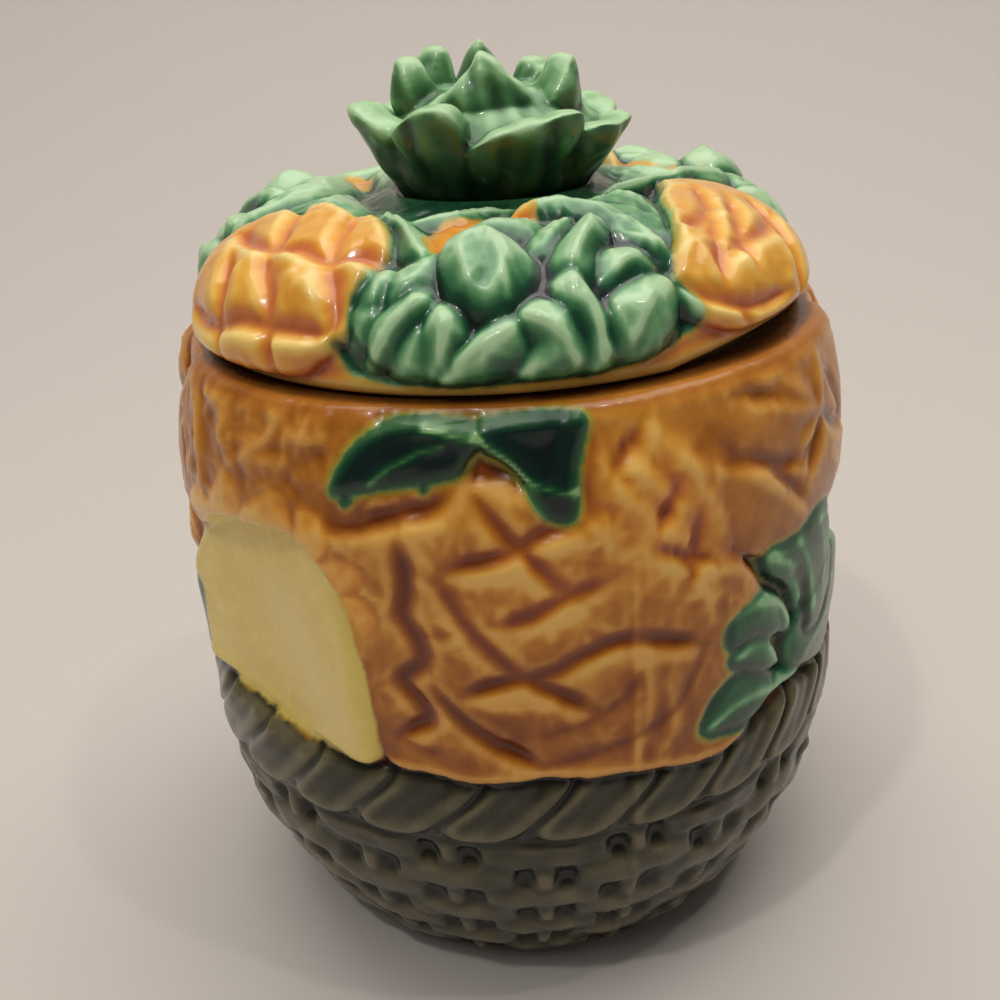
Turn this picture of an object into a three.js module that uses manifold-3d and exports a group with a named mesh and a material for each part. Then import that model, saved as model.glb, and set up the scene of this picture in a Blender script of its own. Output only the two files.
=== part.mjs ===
// Lidded jelly jar of slip-cast, glazed earthenware, shaped as pineapples heaped in a basket.
// Millimetres, +Z up. The origin is on the floor under the jar's axis, and the front faces -Y.
// Angles round the jar are degrees from the front, growing towards the right as seen from the front.
// A fruit, leaf or strand is relief on one casting: its height is added to the turned wall.

import * as THREE from 'three';
import { mergeVertices } from 'three/addons/utils/BufferGeometryUtils.js';
import Module from 'manifold-3d';

const wasm = await Module();
wasm.setup();

// Driving dimensions
const RIM_HEIGHT = 93.2;          // top of the jar's rim
const LID_GAP = 0.3;              // between the rim and the lid that rests on it
const KNOB_GAP = 0.3;             // glue line between the lid and its knob
const SPREAD_RADIUS = 50;         // radius at which angles are turned into millimetres of arc
const WALL_COLUMNS = 120;         // one column every 3 degrees, so the weave's holes fall on columns
const HEAP_ROWS = 21;             // rows of the wall above the weave
const LID_COLUMNS = 100;
const HOLLOW_COLUMNS = 45;
const WALL_THICKNESS = 5;
const FLOOR_HEIGHT = 6;
const MOUTH_RADIUS = 38.8;
const FOOT_RADIUS = 33.5;
const FOOT_INNER_RADIUS = 27;
const FOOT_RECESS = 1.6;
const BACKGROUND_DEPTH = 0.9;     // ground between the fruits, below the turned wall

// Turned wall of the jar, radius against height, before any relief
const WALL_CURVE = [
  [0, 35.4], [4, 38.6], [11.7, 43.1], [23.4, 48.0], [30, 49.0], [39, 49.0], [47, 48.0],
  [58, 48.2], [70, 48.8], [78, 48.3], [84, 47.3], [90.5, 45.7],
];

// Basket: a twisted rope border over rows of woven strands
const ROPE_MIDDLE = 39.6;
const ROPE_HALF_HEIGHT = 5.3;
const ROPE_RISE = 0.1;
const ROPE_STRANDS = 26;
const ROPE_SLANT = 1.2;           // degrees that a strand's groove moves for each millimetre up
const ROPE_START = 4;
const STRAND_RISE = 1.1;
const STRAND_SQUARE = 0.72;       // width of a strand square to its slant, as a share of its arc
const STRAND_SCALLOP = 2.6;       // how far a strand's lower end is rounded off at its grooves
const WEAVE_TOP = 31.5;
const WEAVE_PITCH = 4.6;
const WEAVE_BOTTOM = 3;
const STAKE_PERIOD = 30;          // degrees between stakes in one row
const STAKE_START = -13.5;
const HOLE_OFFSET = 3.4;          // degrees from a stake to the hole on each side of it
const HOLE_HALF_WIDTH = 2.1;
const HOLE_DEPTH = 1.2;
const ROW_GROOVE_DEPTH = 0.5;

// Fruits on the wall. tilt is the fruit's long axis in degrees above the horizontal. Its eyes lie
// between two families of even grooves, given by direction and spacing, or between drawn grooves.
const CELL_RISE = 1.2;
const WIDE_CELLS = { rise: CELL_RISE, first: [-56, 12.4], second: [15.7, 8.3] };
const DIAMOND_CELLS = { rise: CELL_RISE, first: [-52, 10.5], second: [38, 10.5] };
const WALL_FRUITS = [
  { angle: 116, z: 62, halfLength: 31, halfWidth: 22, tilt: 20, rise: 2.3, cells: WIDE_CELLS },
  { angle: 162, z: 79, halfLength: 24, halfWidth: 17, tilt: 100, rise: 2.3, cells: DIAMOND_CELLS },
  { angle: -148, z: 62, halfLength: 30, halfWidth: 21, tilt: -20, rise: 2.3, cells: WIDE_CELLS },
  { angle: -100, z: 79, halfLength: 23, halfWidth: 17, tilt: 78, rise: 2.3, cells: DIAMOND_CELLS },
  { angle: 96, z: 84, halfLength: 16, halfWidth: 11, tilt: 10, rise: 1.5, cells: DIAMOND_CELLS },
  { angle: -88, z: 56, halfLength: 19, halfWidth: 13, tilt: 40, rise: 1.5, cells: DIAMOND_CELLS },
];
const LEFT_FRUIT = { angle: -46, z: 84, halfLength: 26, halfWidth: 13.5, tilt: 8, rise: 1.5 };
const FRONT_FRUIT = { angle: 2, z: 61, halfLength: 37, halfWidth: 23, tilt: -18, rise: 2.1 };

// Grooves between the eyes, as points of angle and height
const EYE_LEDGE = 0.3;            // share of an eye's rise that stands up at once beside a groove
const EYE_SLOPE_REACH = 4.5;      // distance over which the rest of it rises
const GROOVE_WIDTH = 1.3;
const FRONT_EYES = {
  rise: 1.4,
  depth: 0.4,
  grooves: [
    [[-6, 85], [0, 78], [6, 72], [10, 69]],
    [[-11, 74.6], [-8, 69.3], [-4, 64.3], [1, 60], [10, 54.6]],
    [[-13, 59.3], [-9, 54.6], [-4, 50.5], [2, 46.9]],
    [[-16, 79], [-15, 73], [-16, 69], [-14, 62.4], [-17, 59.5], [-14, 54], [-19, 50.7]],
    [[-4, 68.2], [1, 68.7], [6, 71], [13, 73]],
    [[-30, 80.9], [-24.5, 79.8], [-15, 81.5], [-8, 84.5]],
    [[-10, 75.3], [-1, 76.8], [5, 79.2], [9, 80]],
    [[3, 52], [8, 52.8], [14, 55.5], [16, 58.2]],
    [[-9, 58], [-2, 60], [4, 60.7], [8, 62.5], [15, 64], [27, 60.4]],
    [[19, 90.4], [16, 87.7], [13, 84.3], [17, 84.5]],
    [[21, 89], [21, 86.5], [23, 83.5], [20, 78]],
    [[16, 79], [20, 74.5], [25, 72], [30, 70.4]],
    [[28, 78.8], [25, 72], [21, 68]],
  ],
};
const LEFT_EYES = {
  rise: 0.8,
  depth: 0.4,
  grooves: [
    [[-44, 88.2], [-38, 89]], [[-32, 86.2], [-31, 82.6]], [[-51, 85.3], [-50, 82.5]], [[-58, 89], [-57, 85]],
    [[-56, 81], [-53, 79]], [[-64, 84], [-62, 78]],
  ],
};
const RIGHT_OUTLINE = [
  [20, 90.5], [24, 84.8], [31, 73.2], [36, 69.4], [48, 67.2], [64, 70], [75, 80], [77, 88], [72, 94],
  [24, 94],
];
const RIGHT_RISE = 1.7;
const RIGHT_SHOULDER = 15;        // width over which the right fruit rounds off to its edge
const RIGHT_EYES = {
  rise: 0.9,
  depth: 0.35,
  grooves: [
    [[24, 87.8], [30, 84.8], [37, 82], [45, 79.8], [52, 82.2]], [[37, 82], [43, 78.2], [49, 73]],
    [[34, 90.7], [43, 88.4]], [[55, 83.8], [52, 80], [48, 76.2]], [[60, 88], [66, 82], [70, 77]],
    [[55, 83.8], [62, 80], [70, 79]],
  ],
};

// The sliced end of the front fruit: a flat face, as an outline of angle and height
const SLICE_ANGLE = -48;
const SLICE_DISTANCE = 46.4;      // from the jar's axis to the plane of the slice
const SLICE_TOP = 2.1;            // greatest height of the face over the turned wall
const SLICE_OUTLINE = [
  [-58, 72.7], [-49, 75.9], [-35, 77.4], [-27.5, 73.2], [-23.6, 64], [-22.2, 51], [-23, 45.4],
  [-44, 44.8], [-76, 44], [-74, 57], [-68, 66],
];
const SLICE_BLEND = 1.6;

// Plump leaves on the wall as outlines of angle and height
const LEAF_RISE = 1.1;
const LEAF_GROUND = 0.7;          // height at which a leaf lies over the fruit
const LEAF_COVER = 0.75;          // share of the fruit's relief that a leaf hides
const LEAF_ROUND = 1.1;           // distance in from its edge at which a leaf has most of its rise
const RIM_LEAVES = [
  [
    [-25.5, 83.3], [-24, 87.4], [-22, 89.8], [-16.6, 92], [-11.2, 92.2], [-4.6, 90.2], [-4.2, 88.4],
    [-10.8, 85.3], [-19.4, 84.2],
  ],
  [
    [-4.6, 91], [2.8, 91], [9.8, 91.2], [9.2, 88], [8.6, 82.5], [6.6, 80.3], [3.2, 82.5], [0.1, 86.5],
    [-3.9, 89.2],
  ],
];
const FAN_LEAVES = [
  [
    [38.7, 67.4], [43.4, 69.2], [48.6, 69.5], [53.1, 71.3], [58, 70], [62, 64], [62, 55], [57, 51],
    [50.8, 52.6], [48.5, 57], [43.4, 63.1],
  ],
  [[30.7, 59.5], [34.4, 63], [38.2, 63.8], [42.2, 62.4], [47.8, 55.7], [46.1, 53.9], [36.8, 57.3]],
  [[31.5, 56.3], [35.1, 57.6], [38.7, 56.8], [45.1, 50.9], [40.2, 50.6], [33.3, 54.3]],
  [
    [26.5, 47.1], [29.8, 52.3], [33.3, 53.5], [42.3, 50], [52.2, 45.6], [42.8, 45.4], [35, 44.6],
    [28.1, 45.5],
  ],
  [[47, 55], [52, 57], [60, 62], [68, 62], [75, 56], [74, 48], [66, 43.4], [56, 44.4], [47, 48]],
];
const FAN_TURNS = [0, 100, -165];  // the fan in view, and the same one turned to the unseen side
const RIM_LEAF_TURNS = [0, 128, -112];
const AVERAGED_STEPS = [-0.33, 0, 0.33];  // places within a grid step over which relief is averaged

// Dome of the lid, radius and height from its lower edge to the knob's seat
const LID_CURVE = [
  [42.6, 0.5], [43.2, 2.4], [42.8, 5.0], [41.0, 8.2], [37.4, 11.2], [31, 13.9], [23, 15.6], [14.5, 16.6],
];
const LID_EDGE_RADIUS = 41.8;
const LID_ROWS = 15;
const KNOB_SEAT_RADIUS = 12.4;
const KNOB_SEAT_HEIGHT = 108.3;
const RING_OUTER_RADIUS = 38.1;   // locating ring, loose in the mouth
const RING_INNER_RADIUS = 34.4;
const RING_DEPTH = 5;
const LID_HOLLOW_CURVE = [
  [0, -RING_DEPTH - 1], [RING_INNER_RADIUS, -RING_DEPTH - 1], [RING_INNER_RADIUS, 2.5], [33.6, 5.4],
  [29.5, 8.4], [22, 10.4], [11, 11.4], [0, 11.7],
];
// Shallow arch in the lid's lower edge at the right
const ARCH_ANGLE = 54;
const ARCH_HALF_ANGLE = 27;
const ARCH_RISE = 1.8;

// Relief on the lid: three fruits and three leafy crests by turns round the knob. Places on a fruit
// or a crest are millimetres to its right and up the dome from the lid's lower edge.
const LID_GROUND_DEPTH = 0.7;
const SQUARE_CELLS = { rise: 0.9, first: [92, 9.2], second: [4, 9.4] };
const LID_LEFT_EYES = {
  rise: 1.1,
  depth: 0.4,
  grooves: [
    [[2.5, 26.5], [7.3, 19.7], [13.9, 11.7], [17.6, 4]], [[-11.2, 26], [-0.4, 16.8], [6.6, 8.7], [8.4, 3.2]],
    [[-13, 15.2], [0.1, 15], [4.1, 16.3], [10.4, 15.3], [20.9, 15.2]],
    [[-14, 5], [-4.2, 4.6], [2.8, 6], [17.5, 6.4]],
    [[-13, 24.6], [-5.9, 27.6], [8, 25]], [[-7.8, 13.4], [-2.4, 6]],
  ],
};
const LID_RIGHT_EYES = {
  rise: 1.0,
  depth: 0.35,
  grooves: [
    [[-4.8, 24], [-10.6, 17.6], [-15.2, 12]], [[2, 21], [0, 18.5], [-9.3, 10.5], [-11.1, 7.6]],
    [[8, 19], [2.5, 15.7], [-2.8, 12.2], [-5.4, 8]], [[-9.6, 18.2], [-5.2, 17], [0, 18.5], [7, 23]],
    [[-17.6, 10.8], [-12, 6.4], [-8, 4.6], [0, 4.4]], [[-9, 10.5], [-2.8, 12.2], [12, 13]],
    [[12, 17], [5, 5]],
  ],
};
const LID_FRUITS = [
  { angle: -50, z: 15, halfLength: 21, halfWidth: 17.5, tilt: 0, rise: 2.4, eyes: LID_LEFT_EYES },
  { angle: 54, z: 15, halfLength: 20, halfWidth: 15.5, tilt: 8, rise: 2.1, eyes: LID_RIGHT_EYES },
  { angle: 178, z: 15, halfLength: 21, halfWidth: 17, tilt: 0, rise: 2.3, cells: SQUARE_CELLS },
];
const CREST_TURNS = [3, 120, -112];
const CREST_OUTLINE = [
  [-22.5, 4], [-19.5, 10.2], [-14.4, 18.2], [-15.5, 24.1], [-20, 38], [34, 38], [27.4, 27.4], [21.6, 20.8],
  [19, 12.2], [20.8, 4.6], [14, 1], [-17, 1],
];
const CREST_MOUND = { rise: 1.9, halfWidth: 21.5, middle: 14, halfLength: 17, depth: 0.6 };
const CREST_LEAVES = [
  { rise: 2.2, outline: [[-8.3, 15], [-3.8, 20], [1.5, 14.2], [-2.6, 7.8], [-7.4, 10.4]] },
  { rise: 1.1, outline: [[-14.6, 10.3], [-13.9, 13.4], [-8.6, 17], [-9.8, 11.6]] },
  { rise: 1.4, outline: [[-17.9, 2.8], [-17, 6.8], [-10.8, 11.2], [-12.8, 6.9]] },
  { rise: 1.3, outline: [[-10.6, 2.6], [-8.9, 9.6], [-6.6, 8.5], [-7.2, 4.6]] },
  { rise: 1.3, outline: [[-9.4, 2.2], [-2.5, 8], [0.2, 4.8], [-6.8, 2]] },
  { rise: 1.4, outline: [[-0.6, 8.1], [2.1, 9.3], [6.2, 5.7], [6.5, 2.8], [-0.4, 2.6]] },
  { rise: 1.4, outline: [[3.9, 10.4], [5.7, 12.6], [9.2, 6.4], [9.6, 3.1], [7.4, 2.1]] },
  { rise: 1.1, outline: [[9.9, 7.3], [15.7, 10.9], [18.3, 9.3], [18.2, 4.6], [11.1, 3.4]] },
  { rise: 1.2, outline: [[9.4, 13.5], [13.5, 15.4], [15.9, 12.9], [9.7, 11]] },
  { rise: 1.6, outline: [[5, 12], [4.4, 15], [9.3, 22.4], [11.3, 19.4], [7.8, 11.8]] },
  { rise: 1.1, outline: [[-4.6, 21.7], [-2.3, 25], [2.4, 24.4], [3, 20.8], [-0.6, 19.9]] },
  { rise: 1.7, outline: [[1.6, 29.4], [6.8, 29], [16.6, 19], [19.2, 13.2], [11.4, 20.2]] },
  { rise: 1.2, outline: [[9.6, 30.8], [16.8, 30.8], [22, 26.4], [20, 16.6], [14, 25]] },
  { rise: 1.4, outline: [[-19.9, 33.4], [-15, 30], [-9.6, 16], [-16.3, 26.2]] },
  { rise: 1.1, outline: [[-12.6, 25], [1.3, 34.4], [-3.5, 34], [-8.4, 29.6]] },
];

// Crown knob: a stout core with a ring of broad outer leaves, a ring of upright ones and a bud
const OUTER_LEAF_COUNT = 6;
const OUTER_LEAF_START = -21;
const OUTER_LEAF = {
  root: [8, 109.6], bend: [16.8, 111.2], tip: [20.3, 121.6], halfWidth: 9.6, thickness: 1.9, cup: 1.2,
};
const LOW_TIP = 5;                // the leaf at the right curls lower than the rest
const INNER_LEAF_COUNT = 5;
const INNER_LEAF_START = 0;
const INNER_LEAF = {
  root: [5, 112.5], bend: [11.6, 118], tip: [9.6, 127.4], halfWidth: 5.7, thickness: 1.9, cup: 0.8,
};
const BUD_LEAF = {
  root: [0, 114], bend: [2.5, 121], tip: [1.6, 128.5], halfWidth: 4.6, thickness: 2.4, cup: 0.3,
};
const LEAF_BELLY = 1.3;           // above 1, a leaf is widest past its middle
const LEAF_BLUNTNESS = 0.8;       // below 1, its tip is rounded
const LEAF_SIDES = 8;
const LEAF_STATIONS = 8;
const KNOB_COLUMNS = 30;

// Small sums

const { degToRad, clamp, smoothstep, lerp } = THREE.MathUtils;

function wrapAngle(angle) {
  return angle - 360 * Math.round(angle / 360);
}

// Distance from the middle of the cell that holds x, as 0 at the middle and 1 at the cell's edge
function cellEdge(x) {
  return Math.abs(x - Math.round(x)) * 2;
}

// Height of a smooth curve through the given pairs of [x, height]
function curveHeight(pairs, x) {
  const last = pairs.length - 1;
  let k = 0;
  while (k < last - 1 && x > pairs[k + 1][0]) {
    k += 1;
  }
  const slopeAt = (i) => {
    const a = pairs[Math.max(i - 1, 0)];
    const b = pairs[Math.min(i + 1, last)];
    return (b[1] - a[1]) / (b[0] - a[0]);
  };
  const step = pairs[k + 1][0] - pairs[k][0];
  const t = clamp((x - pairs[k][0]) / step, 0, 1);
  const start = pairs[k][1] * (2 * t ** 3 - 3 * t ** 2 + 1) + slopeAt(k) * step * (t ** 3 - 2 * t ** 2 + t);
  const end = pairs[k + 1][1] * (3 * t ** 2 - 2 * t ** 3) + slopeAt(k + 1) * step * (t ** 3 - t ** 2);
  return start + end;
}

function segmentDistance([au, av], [bu, bv], u, v) {
  const along = ((u - au) * (bu - au) + (v - av) * (bv - av)) / ((bu - au) ** 2 + (bv - av) ** 2);
  const t = clamp(along, 0, 1);
  return Math.hypot(u - au - t * (bu - au), v - av - t * (bv - av));
}

function nearestLine(lines, u, v) {
  let nearest = Infinity;
  for (const line of lines) {
    for (let i = 1; i < line.length; i += 1) {
      nearest = Math.min(nearest, segmentDistance(line[i - 1], line[i], u, v));
    }
  }
  return nearest;
}

// Signed distance to an outline of [u, v] points, positive inside
function insideOutline(outline, u, v) {
  let nearest = Infinity;
  let inside = false;
  for (let i = 0, j = outline.length - 1; i < outline.length; j = i, i += 1) {
    const [au, av] = outline[j];
    const [bu, bv] = outline[i];
    nearest = Math.min(nearest, segmentDistance([au, av], [bu, bv], u, v));
    if ((av > v) !== (bv > v) && u < au + ((v - av) / (bv - av)) * (bu - au)) {
      inside = !inside;
    }
  }
  return inside ? nearest : -nearest;
}

// Relief shared by the wall and the lid, in millimetres of arc (u) and of height or dome length (v)

function cellRelief(cells, u, v) {
  const edge = ([direction, spacing]) => {
    const turn = degToRad(direction);
    return cellEdge((v * Math.cos(turn) - u * Math.sin(turn)) / spacing);
  };
  return cells.rise * (1 - Math.max(edge(cells.first), edge(cells.second)) ** 3);
}

// Eyes between drawn grooves: a small ledge beside the groove, then a slope up to the middle
function eyeRelief(eyes, u, v) {
  const gap = nearestLine(eyes.grooves, u, v);
  const ledge = EYE_LEDGE * (1 - Math.exp(-((gap / GROOVE_WIDTH) ** 1.5)));
  const slope = ((1 - EYE_LEDGE) * Math.min(gap, EYE_SLOPE_REACH)) / EYE_SLOPE_REACH;
  return eyes.rise * (ledge + slope) - eyes.depth * Math.exp(-((gap / GROOVE_WIDTH) ** 2));
}

// Height of a fruit where its surface is cut by the given eyes, or -Infinity off the fruit
function fruitRelief(fruit, u, v, eyes) {
  const tilt = degToRad(fruit.tilt);
  const along = u * Math.cos(tilt) + v * Math.sin(tilt);
  const across = v * Math.cos(tilt) - u * Math.sin(tilt);
  const reach = Math.hypot(along / fruit.halfLength, across / fruit.halfWidth);
  if (reach >= 1) {
    return -Infinity;
  }
  const fade = smoothstep(1 - reach, 0, 0.12);
  return fruit.rise * Math.sqrt(1 - reach ** 2) + (eyes - BACKGROUND_DEPTH) * fade;
}

// Height of a plump leaf, from 0 at its outline to rise well inside it, or -Infinity off the leaf
function leafRelief(outline, u, v, rise) {
  const inside = insideOutline(outline, u, v);
  return inside <= 0 ? -Infinity : rise * (1 - Math.exp(-(inside + 0.25) / LEAF_ROUND));
}

// Relief of the jar's wall

function arcOf(angle) {
  return degToRad(angle) * SPREAD_RADIUS;
}

function arcFrom(angle, centre) {
  return arcOf(wrapAngle(angle - centre));
}

function onArc(points) {
  return points.map(([angle, z]) => [arcOf(angle), z]);
}

function eyesOnArc(eyes) {
  return { ...eyes, grooves: eyes.grooves.map(onArc) };
}

const frontEyes = eyesOnArc(FRONT_EYES);
const leftEyes = eyesOnArc(LEFT_EYES);
const rightEyes = eyesOnArc(RIGHT_EYES);
const rightOutline = onArc(RIGHT_OUTLINE);
const sliceOutline = onArc(SLICE_OUTLINE);
const rimLeaves = RIM_LEAVES.map(onArc);
const fanLeaves = FAN_LEAVES.map(onArc);

// Lays a leaf over what is under it, where there is one
function underLeaf(height, leaf) {
  return leaf === -Infinity ? height : lerp(height, LEAF_GROUND, LEAF_COVER) + leaf;
}

function weaveRelief(angle, z) {
  const row = Math.round((WEAVE_TOP - z) / WEAVE_PITCH);
  const fromRow = Math.abs(WEAVE_TOP - z - row * WEAVE_PITCH) / (WEAVE_PITCH / 2);
  const shift = row % 2 === 0 ? 0 : STAKE_PERIOD / 2;
  const turn = (angle - STAKE_START - shift) / STAKE_PERIOD;
  const fromStake = Math.abs(turn - Math.round(turn)) * STAKE_PERIOD;
  const inHole = Math.abs(fromStake - HOLE_OFFSET) < HOLE_HALF_WIDTH && fromRow < 0.6;
  return -ROW_GROOVE_DEPTH * fromRow ** 2 - (inHole ? HOLE_DEPTH : 0);
}

function ropeRelief(angle, z) {
  const up = z - ROPE_MIDDLE;
  const width = 360 / ROPE_STRANDS;
  const across = cellEdge((angle - ROPE_SLANT * up + ROPE_START) / width);
  const toGroove = (1 - across) * arcOf(width / 2) * STRAND_SQUARE;
  const toBottom = up + ROPE_HALF_HEIGHT - STRAND_SCALLOP * across ** 2.6;
  const strand = STRAND_RISE * smoothstep(Math.min(toGroove, toBottom), -0.6, 1);
  const body = Math.sqrt(1 - clamp(up / (ROPE_HALF_HEIGHT + 0.6), 0, 1) ** 2);
  return (ROPE_RISE + strand) * body;
}

function wallLeafRelief(angle, z) {
  const heights = [];
  for (const turn of RIM_LEAF_TURNS) {
    heights.push(...rimLeaves.map((leaf) => leafRelief(leaf, arcFrom(angle, turn), z, LEAF_RISE)));
  }
  for (const turn of FAN_TURNS) {
    heights.push(...fanLeaves.map((leaf) => leafRelief(leaf, arcFrom(angle, turn), z, LEAF_RISE)));
  }
  return Math.max(...heights);
}

// Height of the flat slice over the wall at that radius, and how much of it counts there
function sliceFace(angle, z, radius) {
  const inside = insideOutline(sliceOutline, arcFrom(angle, 0), z);
  const plane = SLICE_DISTANCE / Math.cos(degToRad(wrapAngle(angle - SLICE_ANGLE)));
  return { height: Math.min(plane - radius, SLICE_TOP), share: smoothstep(inside, 0, SLICE_BLEND) };
}

function rightFruitRelief(u, z) {
  const inside = insideOutline(rightOutline, u, z);
  if (inside <= 0) {
    return -Infinity;
  }
  const round = Math.sqrt(1 - (1 - Math.min(inside / RIGHT_SHOULDER, 1)) ** 2);
  return RIGHT_RISE * round + eyeRelief(rightEyes, u, z) - BACKGROUND_DEPTH;
}

function heapRelief(angle, z, radius) {
  const u = arcFrom(angle, 0);
  const heights = [-BACKGROUND_DEPTH, rightFruitRelief(u, z)];
  for (const [fruit, eyes] of [[LEFT_FRUIT, leftEyes], [FRONT_FRUIT, frontEyes]]) {
    heights.push(fruitRelief(fruit, arcFrom(angle, fruit.angle), z - fruit.z, eyeRelief(eyes, u, z)));
  }
  for (const fruit of WALL_FRUITS) {
    const across = arcFrom(angle, fruit.angle);
    const up = z - fruit.z;
    heights.push(fruitRelief(fruit, across, up, cellRelief(fruit.cells, across, up)));
  }
  const slice = sliceFace(angle, z, radius);
  return underLeaf(lerp(Math.max(...heights), slice.height, slice.share), wallLeafRelief(angle, z));
}

// Average of a relief over one step of the grid, so that fine forms aren't missed between columns
function averaged(relief, angle, z, angleStep, step) {
  let sum = 0;
  for (const da of AVERAGED_STEPS) {
    for (const dz of AVERAGED_STEPS) {
      sum += relief(angle + da * angleStep, z + dz * step);
    }
  }
  return sum / AVERAGED_STEPS.length ** 2;
}

function wallRelief(angle, z, radius) {
  const ropeTop = ROPE_MIDDLE + ROPE_HALF_HEIGHT;
  const ropeBottom = ROPE_MIDDLE - ROPE_HALF_HEIGHT;
  const angleStep = 360 / WALL_COLUMNS;
  const step = (RIM_HEIGHT - WEAVE_TOP) / HEAP_ROWS;
  let height = 0;
  if (z < ropeBottom) {
    height = weaveRelief(angle, z);
  } else if (z < ropeTop) {
    const rope = (a, b) => underLeaf(ropeRelief(a, b), wallLeafRelief(a, b));
    height = averaged(rope, angle, z, angleStep, step);
  } else {
    height = averaged((a, b) => heapRelief(a, b, radius), angle, z, angleStep, step);
  }
  const fadeIn = smoothstep(z, WEAVE_BOTTOM - 2, WEAVE_BOTTOM);
  return height * fadeIn * (1 - smoothstep(z, RIM_HEIGHT - 3, RIM_HEIGHT));
}

// Solids

// Merges a geometry's shared corners and drops the slivers that merging leaves at the poles
function weld(geometry) {
  geometry.deleteAttribute('normal');
  geometry.deleteAttribute('uv');
  const merged = mergeVertices(geometry, 1e-4);
  const kept = [];
  const { array } = merged.index;
  for (let i = 0; i < array.length; i += 3) {
    const [a, b, c] = [array[i], array[i + 1], array[i + 2]];
    if (a !== b && b !== c && c !== a) {
      kept.push(a, b, c);
    }
  }
  merged.setIndex(kept);
  return merged;
}

function toSolid(geometry) {
  const vertProperties = new Float32Array(geometry.attributes.position.array);
  const triVerts = new Uint32Array(geometry.index.array);
  return new wasm.Manifold(new wasm.Mesh({ numProp: 3, vertProperties, triVerts }));
}

function toMesh(solid, name, colour, roughness) {
  const { vertProperties, triVerts } = solid.getMesh();
  const geometry = new THREE.BufferGeometry();
  geometry.setAttribute('position', new THREE.BufferAttribute(vertProperties, 3));
  geometry.setIndex(new THREE.BufferAttribute(triVerts, 1));
  geometry.computeVertexNormals();
  const material = new THREE.MeshStandardMaterial({ color: colour, roughness, metalness: 0 });
  const mesh = new THREE.Mesh(geometry, material);
  mesh.name = name;
  return mesh;
}

// Turns a profile of [radius, height] about the jar's axis, which leaves angle 0 at the front
function turned(profile, columns) {
  const points = profile.map(([radius, height]) => new THREE.Vector2(radius, height));
  return weld(new THREE.LatheGeometry(points, columns).rotateX(Math.PI / 2));
}

// Moves each vertex to the place that move returns for its angle, radius and height
function reshape(geometry, move) {
  const { position } = geometry.attributes;
  for (let i = 0; i < position.count; i += 1) {
    const x = position.getX(i);
    const y = position.getY(i);
    const angle = THREE.MathUtils.radToDeg(Math.atan2(x, -y));
    const [radius, height] = move(angle, Math.hypot(x, y), position.getZ(i));
    const scale = Math.hypot(x, y) > 0 ? radius / Math.hypot(x, y) : 0;
    position.setXYZ(i, x * scale, y * scale, height);
  }
  return geometry;
}

function evenSteps(from, to, count) {
  return Array.from({ length: count + 1 }, (_, k) => from + ((to - from) * k) / count);
}

// Jar

function jarBody() {
  const weaveHeights = evenSteps(WEAVE_TOP - 6 * WEAVE_PITCH, WEAVE_TOP, 12);
  const heapHeights = evenSteps(WEAVE_TOP, RIM_HEIGHT - 2.7, HEAP_ROWS).slice(1);
  const wall = [...weaveHeights, ...heapHeights].map((z) => [curveHeight(WALL_CURVE, z), z]);
  const outside = turned([
    [0, FOOT_RECESS], [FOOT_INNER_RADIUS - 1, FOOT_RECESS], [FOOT_INNER_RADIUS, 0], [FOOT_RADIUS, 0],
    [FOOT_RADIUS + 1.9, 0.9], ...wall,
    [45.5, RIM_HEIGHT - 1.4], [44.6, RIM_HEIGHT - 0.4], [43, RIM_HEIGHT], [0, RIM_HEIGHT],
  ], WALL_COLUMNS);
  reshape(outside, (angle, radius, z) => {
    const onWall = radius > FOOT_RADIUS + 1 && z > WEAVE_BOTTOM;
    return [onWall ? radius + wallRelief(angle, z, radius) : radius, z];
  });
  return toMesh(toSolid(outside).subtract(toSolid(jarHollow())), 'jar_body', 0xa8702c, 0.25);
}

function jarHollow() {
  const inner = (z) => curveHeight(WALL_CURVE, z) - WALL_THICKNESS;
  const side = evenSteps(FLOOR_HEIGHT + 4, 82, 9).map((z) => [inner(z), z]);
  const hollow = turned([
    [0, FLOOR_HEIGHT], [28, FLOOR_HEIGHT], [33, FLOOR_HEIGHT + 1], ...side,
    [MOUTH_RADIUS + 1.2, 87], [MOUTH_RADIUS, 90], [MOUTH_RADIUS, RIM_HEIGHT - 0.6],
    [MOUTH_RADIUS + 0.8, RIM_HEIGHT + 0.2], [MOUTH_RADIUS + 0.8, RIM_HEIGHT + 2], [0, RIM_HEIGHT + 2],
  ], HOLLOW_COLUMNS);
  return reshape(hollow, (angle, radius, z) => {
    const slice = sliceFace(angle, z, radius + WALL_THICKNESS);
    const onSide = z > FLOOR_HEIGHT + 4 && z < 86;
    return [onSide ? radius + Math.min(slice.height, 0) * slice.share : radius, z];
  });
}

// Lid

function crestRelief(u, v) {
  const { rise, halfWidth, middle, halfLength, depth } = CREST_MOUND;
  if (insideOutline(CREST_OUTLINE, u, v) <= 0) {
    return -Infinity;
  }
  const reach = Math.min(Math.hypot(u / halfWidth, (v - middle) / halfLength), 1);
  const mound = rise * Math.sqrt(1 - reach ** 2) - depth;
  const leaves = CREST_LEAVES.map((leaf) => leafRelief(leaf.outline, u, v, leaf.rise));
  return Math.max(mound, mound + Math.max(...leaves));
}

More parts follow.
